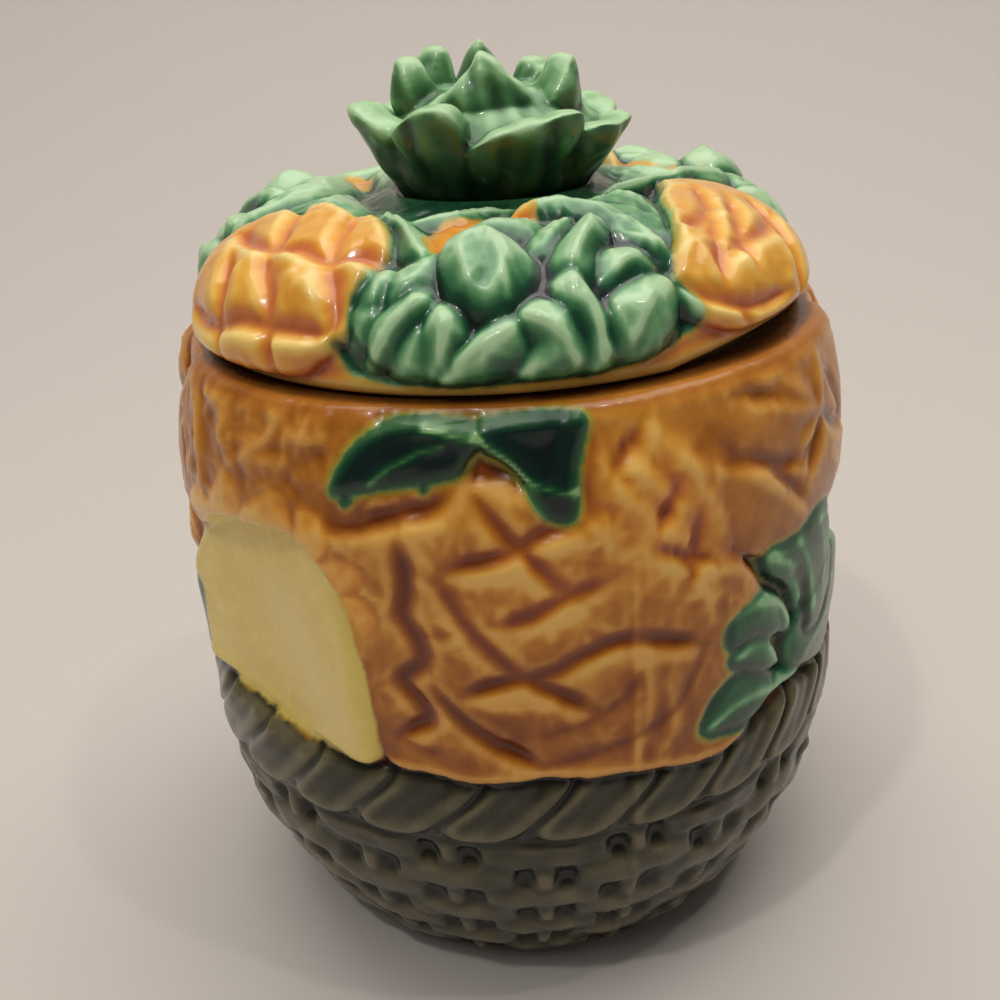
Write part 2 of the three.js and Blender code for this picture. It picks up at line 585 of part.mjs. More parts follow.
function lidRelief(angle, upDome, radius) {
  const arc = (centre) => degToRad(wrapAngle(angle - centre)) * radius;
  let height = -LID_GROUND_DEPTH;
  for (const fruit of LID_FRUITS) {
    const u = arc(fruit.angle);
    const eyes = fruit.eyes ? eyeRelief(fruit.eyes, u, upDome) : cellRelief(fruit.cells, u, upDome - fruit.z);
    height = Math.max(height, fruitRelief(fruit, u, upDome - fruit.z, eyes));
  }
  for (const turn of CREST_TURNS) {
    const crest = crestRelief(arc(turn), upDome);
    height = crest === -Infinity ? height : crest;
  }
  return height;
}

function archRise(angle) {
  const along = wrapAngle(angle - ARCH_ANGLE) / ARCH_HALF_ANGLE;
  return Math.abs(along) < 1 ? ARCH_RISE * Math.cos((along * Math.PI) / 2) ** 0.8 : 0;
}

function lid() {
  const bottom = RIM_HEIGHT + LID_GAP;
  const points = LID_CURVE.map(([radius, up]) => new THREE.Vector2(radius, bottom + up));
  const curve = new THREE.SplineCurve(points);
  const dome = curve.getSpacedPoints(LID_ROWS).map(({ x, y }) => [x, y]);
  const domeLength = curve.getLength();
  const outside = turned([
    [0, bottom - RING_DEPTH], [RING_OUTER_RADIUS - 0.6, bottom - RING_DEPTH],
    [RING_OUTER_RADIUS, bottom - RING_DEPTH + 0.8], [RING_OUTER_RADIUS, bottom],
    [LID_EDGE_RADIUS, bottom], ...dome, [KNOB_SEAT_RADIUS + 0.8, KNOB_SEAT_HEIGHT], [0, KNOB_SEAT_HEIGHT],
  ], LID_COLUMNS);
  const isNear = (a, b) => Math.abs(a - b) < 1e-3;
  reshape(outside, (angle, radius, z) => {
    const onEdge = radius > LID_EDGE_RADIUS - 0.3;
    const row = dome.findIndex((point) => isNear(point[0], radius) && isNear(point[1], z));
    const upDome = (domeLength * row) / LID_ROWS;
    const arch = onEdge ? archRise(angle) * (1 - smoothstep(z, bottom + 1, bottom + 7)) : 0;
    if (row < 0) {
      return [radius, z + arch];
    }
    const own = (a, v) => lidRelief(a, v, radius);
    const mean = averaged(own, angle, upDome, 360 / LID_COLUMNS, domeLength / LID_ROWS);
    const fadeOut = 1 - smoothstep(upDome, domeLength - 5, domeLength);
    const relief = mean * smoothstep(upDome, 0.5, 4) * fadeOut;
    const tangent = curve.getTangentAt(upDome / domeLength);
    return [radius + relief * tangent.y, z + arch - relief * tangent.x];
  });
  const hollow = turned(LID_HOLLOW_CURVE.map(([radius, up]) => [radius, bottom + up]), HOLLOW_COLUMNS);
  return toMesh(toSolid(outside).subtract(toSolid(hollow)), 'lid', 0xd08a2a, 0.22);
}

// Crown knob

// A unit ball drawn out from root to tip: its poles are the leaf's ends, its rings the leaf's sections
function crownLeaf(shape, angle) {
  const ball = weld(new THREE.SphereGeometry(1, LEAF_SIDES, LEAF_STATIONS));
  const toVector = ([radius, z]) => new THREE.Vector2(radius, z);
  const [root, bend, tip] = [shape.root, shape.bend, shape.tip].map(toVector);
  const spine = new THREE.QuadraticBezierCurve(root, bend, tip);
  const { position } = ball.attributes;
  const turn = degToRad(angle);
  for (let i = 0; i < position.count; i += 1) {
    const s = 1 - Math.acos(clamp(position.getY(i), -1, 1)) / Math.PI;
    const round = Math.hypot(position.getX(i), position.getZ(i)) || 1;
    const across = position.getX(i) / round;
    const through = position.getZ(i) / round;
    const belly = Math.sin(Math.PI * clamp(s, 0, 1) ** LEAF_BELLY) ** LEAF_BLUNTNESS;
    const width = shape.halfWidth * belly * across;
    const depth = shape.thickness * Math.sqrt(belly) * (1.15 - s) * through;
    const point = spine.getPoint(s);
    const tangent = spine.getTangent(s);
    const cupped = shape.cup * across ** 2 * belly;
    const radius = point.x + tangent.y * depth - cupped;
    const z = point.y - tangent.x * depth + cupped * 0.4;
    position.setXYZ(i, radius * Math.sin(turn) + width * Math.cos(turn),
      -radius * Math.cos(turn) + width * Math.sin(turn), z);
  }
  return ball;
}

function crownKnob() {
  const base = KNOB_SEAT_HEIGHT + KNOB_GAP;
  const core = turned([
    [0, base], [KNOB_SEAT_RADIUS - 0.6, base], [KNOB_SEAT_RADIUS, base + 0.6], [13, 111], [14, 113.5],
    [12.5, 116], [9, 117.5], [7, 120], [4.5, 122.5], [0, 123.4],
  ], KNOB_COLUMNS);
  let knob = toSolid(core);
  for (let k = 0; k < OUTER_LEAF_COUNT; k += 1) {
    const lower = k === 2 ? LOW_TIP : 0;
    const shape = { ...OUTER_LEAF, tip: [OUTER_LEAF.tip[0], OUTER_LEAF.tip[1] - lower] };
    knob = knob.add(toSolid(crownLeaf(shape, OUTER_LEAF_START + (360 / OUTER_LEAF_COUNT) * k)));
  }
  for (let k = 0; k < INNER_LEAF_COUNT; k += 1) {
    knob = knob.add(toSolid(crownLeaf(INNER_LEAF, INNER_LEAF_START + (360 / INNER_LEAF_COUNT) * k)));
  }
  knob = knob.add(toSolid(crownLeaf(BUD_LEAF, 180)));
  return toMesh(knob, 'crown_knob', 0x3f7a4a, 0.2);
}

const jellyJar = new THREE.Group();
jellyJar.add(jarBody(), lid(), crownKnob());

export default jellyJar;
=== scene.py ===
import math

import bpy
import numpy as np
from bpy.props import FloatProperty, FloatVectorProperty, IntProperty, PointerProperty
from mathutils import Matrix, Vector


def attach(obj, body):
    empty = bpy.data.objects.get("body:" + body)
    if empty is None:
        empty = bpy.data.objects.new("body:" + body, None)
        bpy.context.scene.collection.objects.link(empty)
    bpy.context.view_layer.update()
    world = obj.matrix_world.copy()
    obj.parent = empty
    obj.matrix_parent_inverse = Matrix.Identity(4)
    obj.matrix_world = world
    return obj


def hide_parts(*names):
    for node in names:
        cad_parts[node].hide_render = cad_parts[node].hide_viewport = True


bl_info = {
    "name": "Pineapple Jelly Jar",
    "version": (1, 0, 0),
    "blender": (4, 5, 0),
    "location": "View3D > Sidebar > Jelly Jar",
    "description": "Builds a glazed jelly jar of heaped pineapples with its lid and crown knob",
    "category": "Add Mesh",
}

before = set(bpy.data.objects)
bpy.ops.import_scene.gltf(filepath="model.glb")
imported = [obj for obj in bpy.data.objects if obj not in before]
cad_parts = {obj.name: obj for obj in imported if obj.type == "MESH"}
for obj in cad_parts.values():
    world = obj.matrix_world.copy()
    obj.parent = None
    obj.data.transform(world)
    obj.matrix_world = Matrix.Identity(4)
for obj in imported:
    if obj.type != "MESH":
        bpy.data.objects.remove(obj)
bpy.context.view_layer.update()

# Relief is worked out in millimetres on a surface rolled out flat. Angles are degrees from the
# front of the jar, growing to the right. Heights on the wall are from the floor, and on the lid
# they are lengths up the dome from its lower edge.

ARC = math.radians(50)            # millimetres round the wall for each degree
FAR = 99.0                        # distance given to what is out of a stroke's reach
LAP_REACH = 8.0                   # longest eye, from the groove above to the one below
GROUND = -0.9                     # ground between the fruits, against the turned wall
LEAF_GROUND = 0.7                 # height at which a leaf lies over the fruit
LEAF_COVER = 0.75                 # share of the fruit's relief that a leaf hides
SEAM_TURNS = (16, -164)           # the two seams of the mould
WIDEST = 49.6                     # radius past which the relief is held back
WIDEST_PLAY = 0.7                 # and how far past it the relief may still come

# Turned wall, [height, radius]
WALL = [
    (0, 35.4), (4, 38.6), (11.7, 43.1), (23.4, 48.0), (30, 49.0), (39, 49.0), (47, 48.0), (58, 48.2),
    (70, 48.8), (78, 48.3), (84, 47.3), (90.5, 45.7),
]

# Front fruit: grooves between its eyes, finer ones, and the creases on the eyes
FRONT_GROOVES = [
    [(-6, 85), (0, 78), (6, 72), (10, 69)], [(-11, 74.6), (-8, 69.3), (-4, 64.3), (1, 60), (10, 54.6)],
    [(-13, 59.3), (-9, 54.6), (-4, 50.5), (2, 46.9)],
    [(-16, 79), (-15, 73), (-16, 69), (-14, 65), (-14, 62.4), (-17, 59.5), (-15, 56.5), (-14, 54),
     (-19, 50.7)],
    [(-4, 68.2), (1, 68.7), (6, 71), (9, 71.7), (13, 73)],
    [(-30, 80.9), (-24.5, 79.8), (-20, 80.3), (-15, 81.5), (-10.9, 82.5), (-8, 84.5)],
    [(-10, 75.3), (-6, 76), (-1, 76.8), (2, 78.2), (5, 79.2), (9, 80)],
    [(-9, 58), (-2, 60), (4, 60.7), (8, 62.5), (15, 64), (27, 60.4)],
]
FRONT_FAINT = [
    [(-14, 66.3), (-9, 67)], [(10, 84.2), (10, 80.6)], [(-3, 71.3), (-4, 68.2)], [(-13, 62), (-12, 58)],
    [(2, 46.9), (12, 48.5), (22, 52), (27, 60)], [(-19, 50.7), (-14, 49)],
    [(3, 52), (8, 52.8), (14, 55.5), (16, 58.2)],
]
FRONT_CREASES = [
    [(-15, 81), (-11, 75)], [(-16, 80), (-15, 77.6)], [(-13, 73.5), (-11, 72.6)],
    [(-5, 84.6), (0, 80.2)], [(-9, 74), (-4, 74), (0, 75.8)], [(3, 77.5), (7, 77.8), (13, 77.3)],
    [(-10, 73.3), (-7, 69.3), (-3, 65.5), (0, 61.4)], [(-3, 73.3), (-3, 69.3)],
    [(-12, 59.7), (-8, 55), (-4, 51.4)], [(-8, 57), (-2, 56.3), (3, 56.4)], [(4, 66.5), (8, 69)],
    [(17, 63.5), (18, 54.6), (16, 46.6)], [(10, 79.4), (12, 77), (14, 75.5)],
    [(24, 70), (27, 67.8), (28, 63.5)], [(-5, 87.3), (-6, 85.3)], [(-11, 72.6), (-8, 67)],
    [(21, 56), (22, 50), (20, 46)],
]
# Bright fruit behind it, between the front one and the right one
MIDDLE_GROOVES = [
    [(19, 90.4), (16, 87.7), (13, 84.3)], [(23.7, 83.8), (21.4, 80), (18.4, 76.2)],
    [(13, 84.3), (17, 84.5)], [(19, 75.6), (24, 73), (30, 71)],
    [(26.6, 79.2), (25.6, 74.6), (24.6, 70.4), (21.6, 67.4)], [(11, 90), (11, 86)],
]
MIDDLE_CREASES = [
    [(19.6, 89), (23, 86), (26, 82.4), (30.4, 75.4)], [(15, 86.8), (18.4, 83.6), (22.4, 80.6)],
    [(22, 86.4), (24, 84)], [(24, 82), (27, 79.3)], [(28, 77.4), (31, 73.2)],
    [(12, 86.7), (14, 83), (17, 80.4), (19, 77.6)], [(26, 71), (28, 69), (28, 64.8)],
    [(17, 89.3), (15, 88)], [(20, 77.7), (24, 75.5)], [(30, 69.6), (34, 69.5)],
]
# Right fruit, broad facets between a few grooves
RIGHT_OUTLINE = [
    (20, 90.5), (24, 84.8), (27, 79.7), (31, 73.2), (36, 69.4), (41, 68.2), (48, 67.2), (56, 68.6),
    (64, 70), (70, 74), (75, 80), (77, 88), (72, 94), (40, 96), (24, 94),
]
RIGHT_GROOVES = [
    [(24, 87.8), (30, 84.8), (37, 82), (45, 79.8), (49, 80), (52, 82.2)],
    [(37, 82), (43, 78.2), (49, 73)], [(34, 90.7), (41, 89.2), (43, 88.4)],
    [(55, 83.8), (52, 80), (48, 76.2)], [(60, 88), (66, 82), (70, 77)],
    [(55, 83.8), (62, 80), (70, 79)],
]
RIGHT_CREASES = [
    [(30, 84.8), (29, 81.5), (28, 79.4)], [(44, 91), (46, 89.5), (51, 86.8)], [(42, 87.3), (54, 84.6)],
    [(57, 89.6), (54, 84.4)], [(52, 83.2), (46, 78.8)], [(34, 83.8), (37, 80.4), (42, 77)],
    [(44, 76), (48, 72.2)], [(31, 83.7), (30, 82)], [(43, 91), (37, 90)], [(58, 77), (63, 74)],
]
# Left fruit above the slice, seen end on: pits between crossing ridges
LEFT_PITS = [
    [(-45, 91.6), (-44, 89)], [(-38, 92), (-38, 90)], [(-29, 92), (-29.4, 89.8)],
    [(-24, 92), (-23.5, 90.6)], [(-38, 84.6), (-37.6, 84.2)], [(-32, 86.2), (-33, 84.2), (-31, 82.6)],
    [(-44, 88.2), (-38, 89)], [(-51, 85.3), (-50, 82.5)], [(-58, 89), (-57, 85)],
    [(-56, 81), (-53, 79)], [(-64, 84), (-62, 78)],
]
LEFT_CREASES = [
    [(-53, 92), (-48, 90.5), (-47, 87), (-45, 84.4)], [(-45, 87.5), (-36, 89)],
    [(-36, 92.3), (-36, 89), (-41, 86), (-34, 86)], [(-34, 88.7), (-27, 89.8)],
    [(-27, 93.3), (-27, 91)], [(-22, 93), (-20, 92.2)], [(-61, 91), (-55, 86), (-54, 80)],
]
# Skin that laps over the upper edge of the slice
SKIN_TIPS = [
    [(-62, 74), (-58, 78), (-54, 79), (-52, 75.5)],
    [(-54, 75.6), (-51, 79.4), (-46, 84), (-42.6, 80.5), (-45, 76.6)],
    [(-43.5, 76.8), (-41, 80.4), (-36, 82.6), (-33, 81.2), (-32.4, 77.4), (-37, 76.8)],
    [(-32.4, 76.4), (-31.4, 80.8), (-28, 80.6), (-25.6, 77.4), (-28, 74.6)],
    [(-28.4, 74.2), (-24.6, 76.2), (-20.6, 74.4), (-22, 71.6), (-25.4, 71)],
    [(-25, 70.6), (-20.8, 71), (-19.4, 67.4), (-22.6, 65)],
]

# Sliced end of the front fruit
SLICE_MIDDLE = -48.0
SLICE_PLANE = 46.4
SLICE_TOP = 2.1
SLICE_OUTLINE = [
    (-58, 72.7), (-49, 75.9), (-42, 76.9), (-35, 77.4), (-31, 76.2), (-27.5, 73.2), (-25, 69.6),
    (-23.6, 64), (-22.6, 57), (-22.2, 51), (-23, 45.4), (-31, 44.6), (-44, 44.8), (-60, 45), (-76, 44),
    (-76, 50), (-74, 57), (-68, 66),
]
SLICE_CORE = [(-40, 63), (-37, 58.5), (-33.5, 52.5), (-31, 48)]
SLICE_CENTRE = (-40, 60)          # angle and height at which the fibres of the flesh meet

# Where the heap ends and the basket begins, [angle, height]
BASKET_EDGE = [
    (-180, 44.6), (-150, 45.6), (-110, 44.4), (-90, 45), (-70, 45.4), (-50, 45.4), (-38, 44.8),
    (-24, 44.9), (-20, 45.2), (-14, 45), (-6, 44.4), (3, 44.8), (13, 44), (26, 42.4), (32, 42),
    (45, 44.6), (60, 43.4), (76, 42.6), (105, 44.6), (135, 45.4), (160, 44.2), (180, 44.6),
]

# Leaves on the wall as outlines, with the ribs that stand up on them
RIM_LEAVES = [
    [(-25.5, 83.3), (-25.1, 85.2), (-23.9, 87), (-22, 89.2), (-19.5, 90.8), (-16.6, 91.7), (-14, 92.1),
     (-11.2, 92.2), (-9.1, 92), (-5.9, 91.6), (-4.6, 91), (-4.2, 89), (-5.9, 87.4), (-7, 86.1),
     (-10.8, 85.3), (-12.4, 85.1), (-15.4, 84.8), (-19.4, 84.2), (-22.7, 83.5)],
    [(-4.6, 91.4), (-1.1, 92), (2.8, 92.2), (5.3, 92.4), (9.6, 92.2), (10.8, 91), (10, 89), (9.2, 87.4),
     (8.6, 84.7), (8.6, 82.5), (8, 80.7), (6.6, 80.3), (4.8, 80.8), (3.2, 82.5), (1.8, 84.6),
     (0.1, 86.3), (-2.1, 87.6), (-3.9, 88.5)],
]
RIM_RIBS = [
    [(-19.4, 85.2), (-16.8, 86.8), (-14.2, 88), (-12, 88.9), (-9.2, 89.4)],
    [(-11.8, 91.4), (-9.1, 91), (-7, 90.4), (-4.8, 90.2)],
    [(-4.3, 90.2), (-2.6, 89.2), (-0.1, 87.6), (1.8, 85.7), (4.9, 84.3), (8.5, 83.6)],
]
RIM_RUNS = [
    [(-12.8, 85.4), (-12.1, 84.1), (-11.4, 85.4)], [(-24.4, 83.6), (-23.5, 82.1), (-22.3, 83.8)],
]
FAN_LEAVES = [
    [(47, 55), (52, 57), (60, 62), (68, 62), (75, 56), (74, 48), (66, 43.4), (56, 44.4), (47, 48)],
    [(38.7, 67.4), (39.4, 69.4), (43.4, 69.4), (48.6, 69.7), (53.1, 71.3), (58, 70), (62, 64), (62, 55),
     (57, 51), (50.8, 52.6), (48.5, 57), (47, 60.4), (43.4, 63.1), (40.3, 65.2)],
    [(30.7, 59.5), (31.4, 61.7), (34.4, 63), (38.2, 63.8), (42.2, 62.4), (45.7, 59.6), (47.8, 55.7),
     (46.1, 53.9), (40.7, 55.9), (36.8, 57.3), (33.5, 57.2), (31.7, 57.5)],
    [(31.3, 56), (33, 57.2), (35.1, 57.9), (38.7, 57), (42.3, 54.6), (45.1, 50.9), (43.8, 49.8),
     (40.2, 50.6), (36.3, 52.3), (33.3, 54)],
    [(26.5, 47.1), (27.5, 49.7), (29.8, 52.3), (33.3, 53.5), (38.1, 51.9), (42.3, 50), (50.1, 47.6),
     (52.2, 45.6), (42.8, 45.4), (39.3, 44.6), (35, 44.4), (31.2, 45), (28.1, 45.5)],
]
FAN_RIBS = [
    [(28.2, 46.9), (32.7, 48.6), (37.3, 48.8), (42.7, 47.6), (48, 46.6)],
    [(33.1, 56.1), (36.4, 56.7), (40.1, 55.5), (43.9, 51.5)],
    [(32.9, 62.2), (37.1, 62.8), (41.6, 61.4), (46.3, 57)], [(40.2, 68.4), (45, 65.3), (49.3, 58.9)],
    [(46.7, 68.5), (51, 63), (53.6, 55.9)], [(54, 69), (57, 63), (57.6, 56)],
    [(52, 49), (60, 51), (68, 51)], [(58, 57), (64, 56), (70, 52)],
]
FAN_GAPS = [
    [(44, 46), (50, 45), (56, 44)], [(46.5, 64), (50, 60), (51.6, 54)],
]
BACK_LEAVES = [
    [(-69, 58), (-73, 60), (-78, 55), (-80, 47), (-76, 43), (-71, 46), (-70, 52)],
]
BACK_RIBS = [
    [(-72, 57), (-75, 51), (-76, 45)],
]
RIM_TURNS = (0, 128, -112)
FAN_TURNS = (0, 100, -165)

# Fruits: angle, height, half length, half width, tilt and swell, then of the unseen ones the direction
# and width of both families of grooves
BACK_FRUITS = [
    (116, 62, 31, 22, 20, 2.1, (-56, 11.4), (15.7, 8.3)),
    (162, 79, 24, 17, 100, 2.1, (-52, 10.5), (38, 10.5)),
    (-148, 62, 30, 21, -20, 2.1, (-56, 11.4), (15.7, 8.3)),
    (-100, 79, 23, 17, 78, 2.1, (-52, 10.5), (38, 10.5)), (96, 84, 16, 11, 10, 1.4, (-52, 9), (38, 9)),
    (-88, 56, 19, 13, 40, 1.4, (-52, 9), (38, 9)),
]
FRONT_FRUIT = (2, 61, 37, 23, -18, 2.1)
LEFT_FRUIT = (-46, 84, 26, 13.5, 8, 1.5)

# Basket: a twisted rope border over woven rows, in millimetres up the wall and degrees round it
ROPE_STRANDS = 26
ROPE_MIDDLE = 39.6
ROPE_HALF_HEIGHT = 5.3
WEAVE_TOP = 31.5                  # middle of the top row
WEAVE_PITCH = 4.6
STAKE_PERIOD = 30.0               # from one stake to the next in a row
FIRST_STAKE = -13.5
HOLE_OFFSET = 3.4                 # from a stake to the hole on each side of it

# Foot ring of the jar and its floor, [radius, height]
FOOT = [
    (0, 1.6), (14, 1.6), (25.6, 1.6), (26.4, 1.1), (27, 0.3), (27.5, 0), (33, 0), (34, 0.2), (35.2, 0.9),
]
BARE_ROWS = 7                     # rows of the foot that are left unglazed
JAR_FLOOR = [
    (33, 7), (30, 6.2), (26, 6), (12, 6), (0, 6),
]

# Dome of the lid, [radius, height above its lower edge]
DOME = [
    (42.6, 0.5), (43.2, 2.4), (42.8, 5.0), (41.0, 8.2), (37.4, 11.2), (31, 13.9), (23, 15.6),
    (14.5, 16.6),
]
# Underside of the lid with its locating ring, [radius, height above the lid's lower edge]
LID_UNDERSIDE = [
    (0, 11.7), (6, 11.6), (11, 11.4), (16.5, 11), (22, 10.4), (26, 9.5), (29.5, 8.4), (32, 7), (33.6, 5.4),
    (34.3, 3.8), (34.4, 2.5), (34.4, -4.4), (34.8, -4.85), (35.4, -5), (37.3, -5), (37.9, -4.75),
    (38.1, -4.2), (38.1, -0.4), (38.3, 0), (39.6, 0), (41.6, 0), (42.2, 0.12),
]
ARCH_ANGLE = 54                   # middle of the arch in the lid's lower edge
ARCH_HALF_ANGLE = 27

# Fruits of the lid, with the grooves and creases of the two in front, then its leafy crests
LID_FRUITS = [(-50, 15, 21, 17.5, 0, 2.4), (54, 15, 20, 15.5, 8, 2.1), (178, 15, 21, 17, 0, 2.3)]
LID_LEFT_GROOVES = [
    [(2.5, 26.5), (7.3, 19.7), (10.1, 15.9), (13.9, 11.7), (16.5, 8.1), (17.8, 4), (18.6, 0.4)],
    [(-11.2, 26), (-4.8, 21.2), (-0.4, 16.8), (0.8, 14.6), (4, 11.3), (6.6, 8.7), (7.7, 6.2),
     (8.6, 3.2), (9, 0.4)],
    [(-13, 15.2), (-7, 15.4), (0.1, 15), (4.1, 16.3), (10.4, 15.3), (13.1, 16.6), (17, 15.5),
     (20.9, 15.2)],
    [(-14, 5), (-4.2, 4.6), (2.8, 6), (7.8, 6.3), (13.1, 6.4), (17.5, 6.4)],
    [(-13, 24.6), (-11.2, 26), (-5.9, 27.6), (2, 26.6), (8, 25)],
    [(-7.8, 13.4), (-4.3, 9.7), (-2.4, 6), (-1.6, 3), (-1.4, 0.4)],
]
LID_LEFT_CREASES = [
    [(-4.6, 13.6), (4.2, 14), (7.4, 13.4)], [(12.1, 14.4), (15.2, 14.6), (18, 13)],
    [(8, 12), (13.2, 10)], [(8.6, 23.6), (14.9, 18.6)], [(0, 4.4), (4.1, 4.9), (7.2, 4.6)],
    [(9.6, 4.6), (13.4, 4.9)], [(-7.5, 24), (-3, 25.6), (1.8, 24.8)], [(-3, 20), (-1, 23)],
    [(3, 13), (5, 9.4)], [(-1.5, 11.5), (0.5, 8.5)],
]
LID_RIGHT_GROOVES = [
    [(-4.8, 24), (-10.6, 17.6), (-15.2, 12)],
    [(2, 21), (0, 18.5), (-5.6, 14.2), (-9.3, 10.5), (-11.1, 7.6)],
    [(8, 19), (2.5, 15.7), (-2.8, 12.2), (-5.4, 8)], [(-9.6, 18.2), (-5.2, 17), (0, 18.5), (7, 23)],
    [(-17.6, 10.8), (-14.8, 8.2), (-12, 6.4), (-8, 4.6), (0, 4.4)],
    [(-9, 10.5), (-2.8, 12.2), (4, 12), (12, 13)], [(12, 17), (8, 11), (5, 5), (4, 0.6)],
    [(-12, 6.4), (-9.6, 3.6), (-8.4, 0.6)],
]
LID_RIGHT_CREASES = [
    [(-12.6, 14), (-9.2, 13.6), (-7.2, 13.7)], [(-10, 13.1), (-11.7, 9.3)],
    [(-5.9, 13.1), (-5.7, 10.1), (-5.9, 8.6)], [(0, 17), (1.2, 15.2)], [(-13.2, 5.6), (-11, 4)],
    [(-6, 20), (-9.4, 16.4)], [(4, 19), (6, 17.6)], [(3, 8), (1, 6)], [(-14, 8.6), (-12.6, 6.9)],
]
CREST_TURNS = (3, 120, -112)
CREST_OUTLINE = [
    (-22.5, 5.5), (-20.5, 6.6), (-19.5, 10.2), (-16.9, 13.9), (-14.4, 18.2), (-15.5, 24.1), (-20, 31.6),
    (-20, 38), (34, 38), (31, 30), (27.4, 27.4), (23.1, 25.2), (21.6, 20.8), (20.6, 16.3), (19, 12.2),
    (19.4, 8.1), (20.8, 4.6), (17, 2.6), (14, 1.7), (9, 1.2), (3, 1.1), (-3.6, 0.9), (-10.7, 0.8),
    (-17, 1.1), (-21, 2.2),
]
CREST_ORANGE = [
    (-8.8, 17.6), (-10.4, 20.4), (-9.8, 24), (-6.7, 28), (-1.3, 30.6), (3, 30.6), (3.4, 26), (-1, 25.4),
    (-4.6, 24.4), (-5.4, 21.4),
]
# Plump leaves of a crest: outline, then how far each stands out
CREST_LEAVES = [
    ([(-8.3, 15), (-7.2, 18.2), (-3.8, 20), (-0.4, 18.2), (1.5, 14.2), (-0.5, 9.6), (-2.6, 7.8),
      (-5, 8.2), (-7.4, 10.4)], 2.5),
    ([(-14.6, 10.3), (-13.9, 13.4), (-11.1, 15.6), (-8.6, 17), (-8.6, 14.4), (-9.8, 11.6),
      (-12.4, 10.6)], 1.2),
    ([(-17.9, 2.8), (-17, 6.8), (-14.2, 9.4), (-10.8, 11.2), (-9.9, 9.8), (-12.8, 6.9), (-15.2, 4)],
     1.5),
    ([(-10.6, 2.6), (-10.5, 6.8), (-8.9, 9.6), (-6.6, 8.5), (-6.2, 6.5), (-7.2, 4.6), (-9.2, 2.8)], 1.4),
    ([(-14.9, 2.4), (-13.8, 5.2), (-11.2, 7.4), (-11, 4.6), (-11.9, 2.4)], 0.9),
    ([(-9.4, 2.2), (-6.4, 5), (-2.5, 8), (-0.4, 7.2), (0.2, 4.8), (-3.4, 3), (-6.8, 2)], 1.5),
    ([(-0.6, 8.1), (2.1, 9.3), (4.7, 8.1), (6.2, 5.7), (6.5, 2.8), (3.2, 2.1), (-0.4, 2.6), (1, 5.2)],
     1.5),
    ([(3.9, 10.4), (5.7, 12.6), (7.7, 9.4), (9.2, 6.4), (9.6, 3.1), (7.4, 2.1), (6.9, 5.7)], 1.6),
    ([(9.9, 7.3), (11.6, 9.9), (15.7, 10.9), (18.3, 9.3), (18.2, 4.6), (15.4, 2.4), (11.1, 3.4)], 1.2),
    ([(9.4, 13.5), (10.5, 15.2), (13.5, 15.4), (15.9, 12.9), (13.4, 11.2), (9.7, 11)], 1.3),
    ([(5, 12), (4.4, 15), (6.4, 18.7), (9.3, 22.4), (11.3, 19.4), (9.4, 14.8), (7.8, 11.8)], 1.8),
    ([(2, 17.2), (3.9, 21.4), (7, 23.4), (6.4, 20), (4, 16.4)], 1.2),
    ([(-4.6, 21.7), (-2.3, 25), (2.4, 24.4), (3, 20.8), (-0.6, 19.9)], 1.2),
    ([(1.6, 29.4), (6.8, 29), (12.8, 24.4), (16.6, 19), (19.2, 13.2), (15.4, 15.6), (11.4, 20.2),
      (6.8, 25)], 1.9),
    ([(9.6, 30.8), (16.8, 30.8), (22, 26.4), (21.8, 20.7), (20, 16.6), (17.6, 20), (14, 25)], 1.3),
    ([(-19.9, 33.4), (-15, 30), (-12, 25.2), (-10.8, 21.6), (-9.6, 16), (-12.1, 17.6), (-13.7, 22.7),
      (-16.3, 26.2)], 1.5),
    ([(-12.6, 25), (-7.9, 27.6), (-3, 31.4), (1.3, 34.4), (-3.5, 34), (-8.4, 29.6)], 1.2),
    ([(-18.4, 11), (-15.4, 14.4), (-13.6, 13.6), (-15, 10.4), (-18, 8)], 1.0),
    ([(-20.4, 6.4), (-18.2, 10), (-16, 9.2), (-17.8, 5.6)], 0.9),
]
CREST_RIBS = [
    [(-3.9, 19.6), (-2, 15), (-1.4, 10)], [(-16.6, 4.6), (-13.6, 7.8), (-11.4, 10)],
    [(-9, 3.8), (-8.4, 8)], [(-7.4, 4), (-4, 6), (-1, 7)], [(6, 11.6), (7.8, 8.4), (8.6, 4)],
    [(0.6, 8), (3.6, 6.6), (5.4, 3.4)], [(10.4, 20.6), (12, 19), (17, 15)],
    [(6, 14), (8, 18), (9.4, 21)], [(3.4, 28.4), (9.6, 26.6), (14.8, 20.6), (18, 15)],
    [(-10.8, 18), (-12.4, 23), (-15.6, 28), (-19, 32.6)], [(-11.6, 25.6), (-7, 28.8), (-1.4, 33)],
    [(12, 5), (14.6, 8.6)], [(11, 12), (14, 14)], [(15, 30), (19, 25), (20.4, 20)],
]


# Sums on the rolled-out surface

def eased(x, low, high):
    """Rises smoothly from 0 where x is low to 1 where x is high."""
    t = np.clip((x - low) / (high - low), 0.0, 1.0)
    return t * t * (3.0 - 2.0 * t)


def wrapped(angle):
    return angle - 360.0 * np.round(angle / 360.0)


def between(low, high, share):
    return low + (high - low) * share


def dip(distance, width):
    """1 on a line, fading to nothing about two widths from it."""
    return np.exp(-(distance / width) ** 2)


def wedge(distance, width):
    """1 on a line, falling straight to 0 at the given width."""
    return np.clip(1.0 - distance / width, 0.0, 1.0)


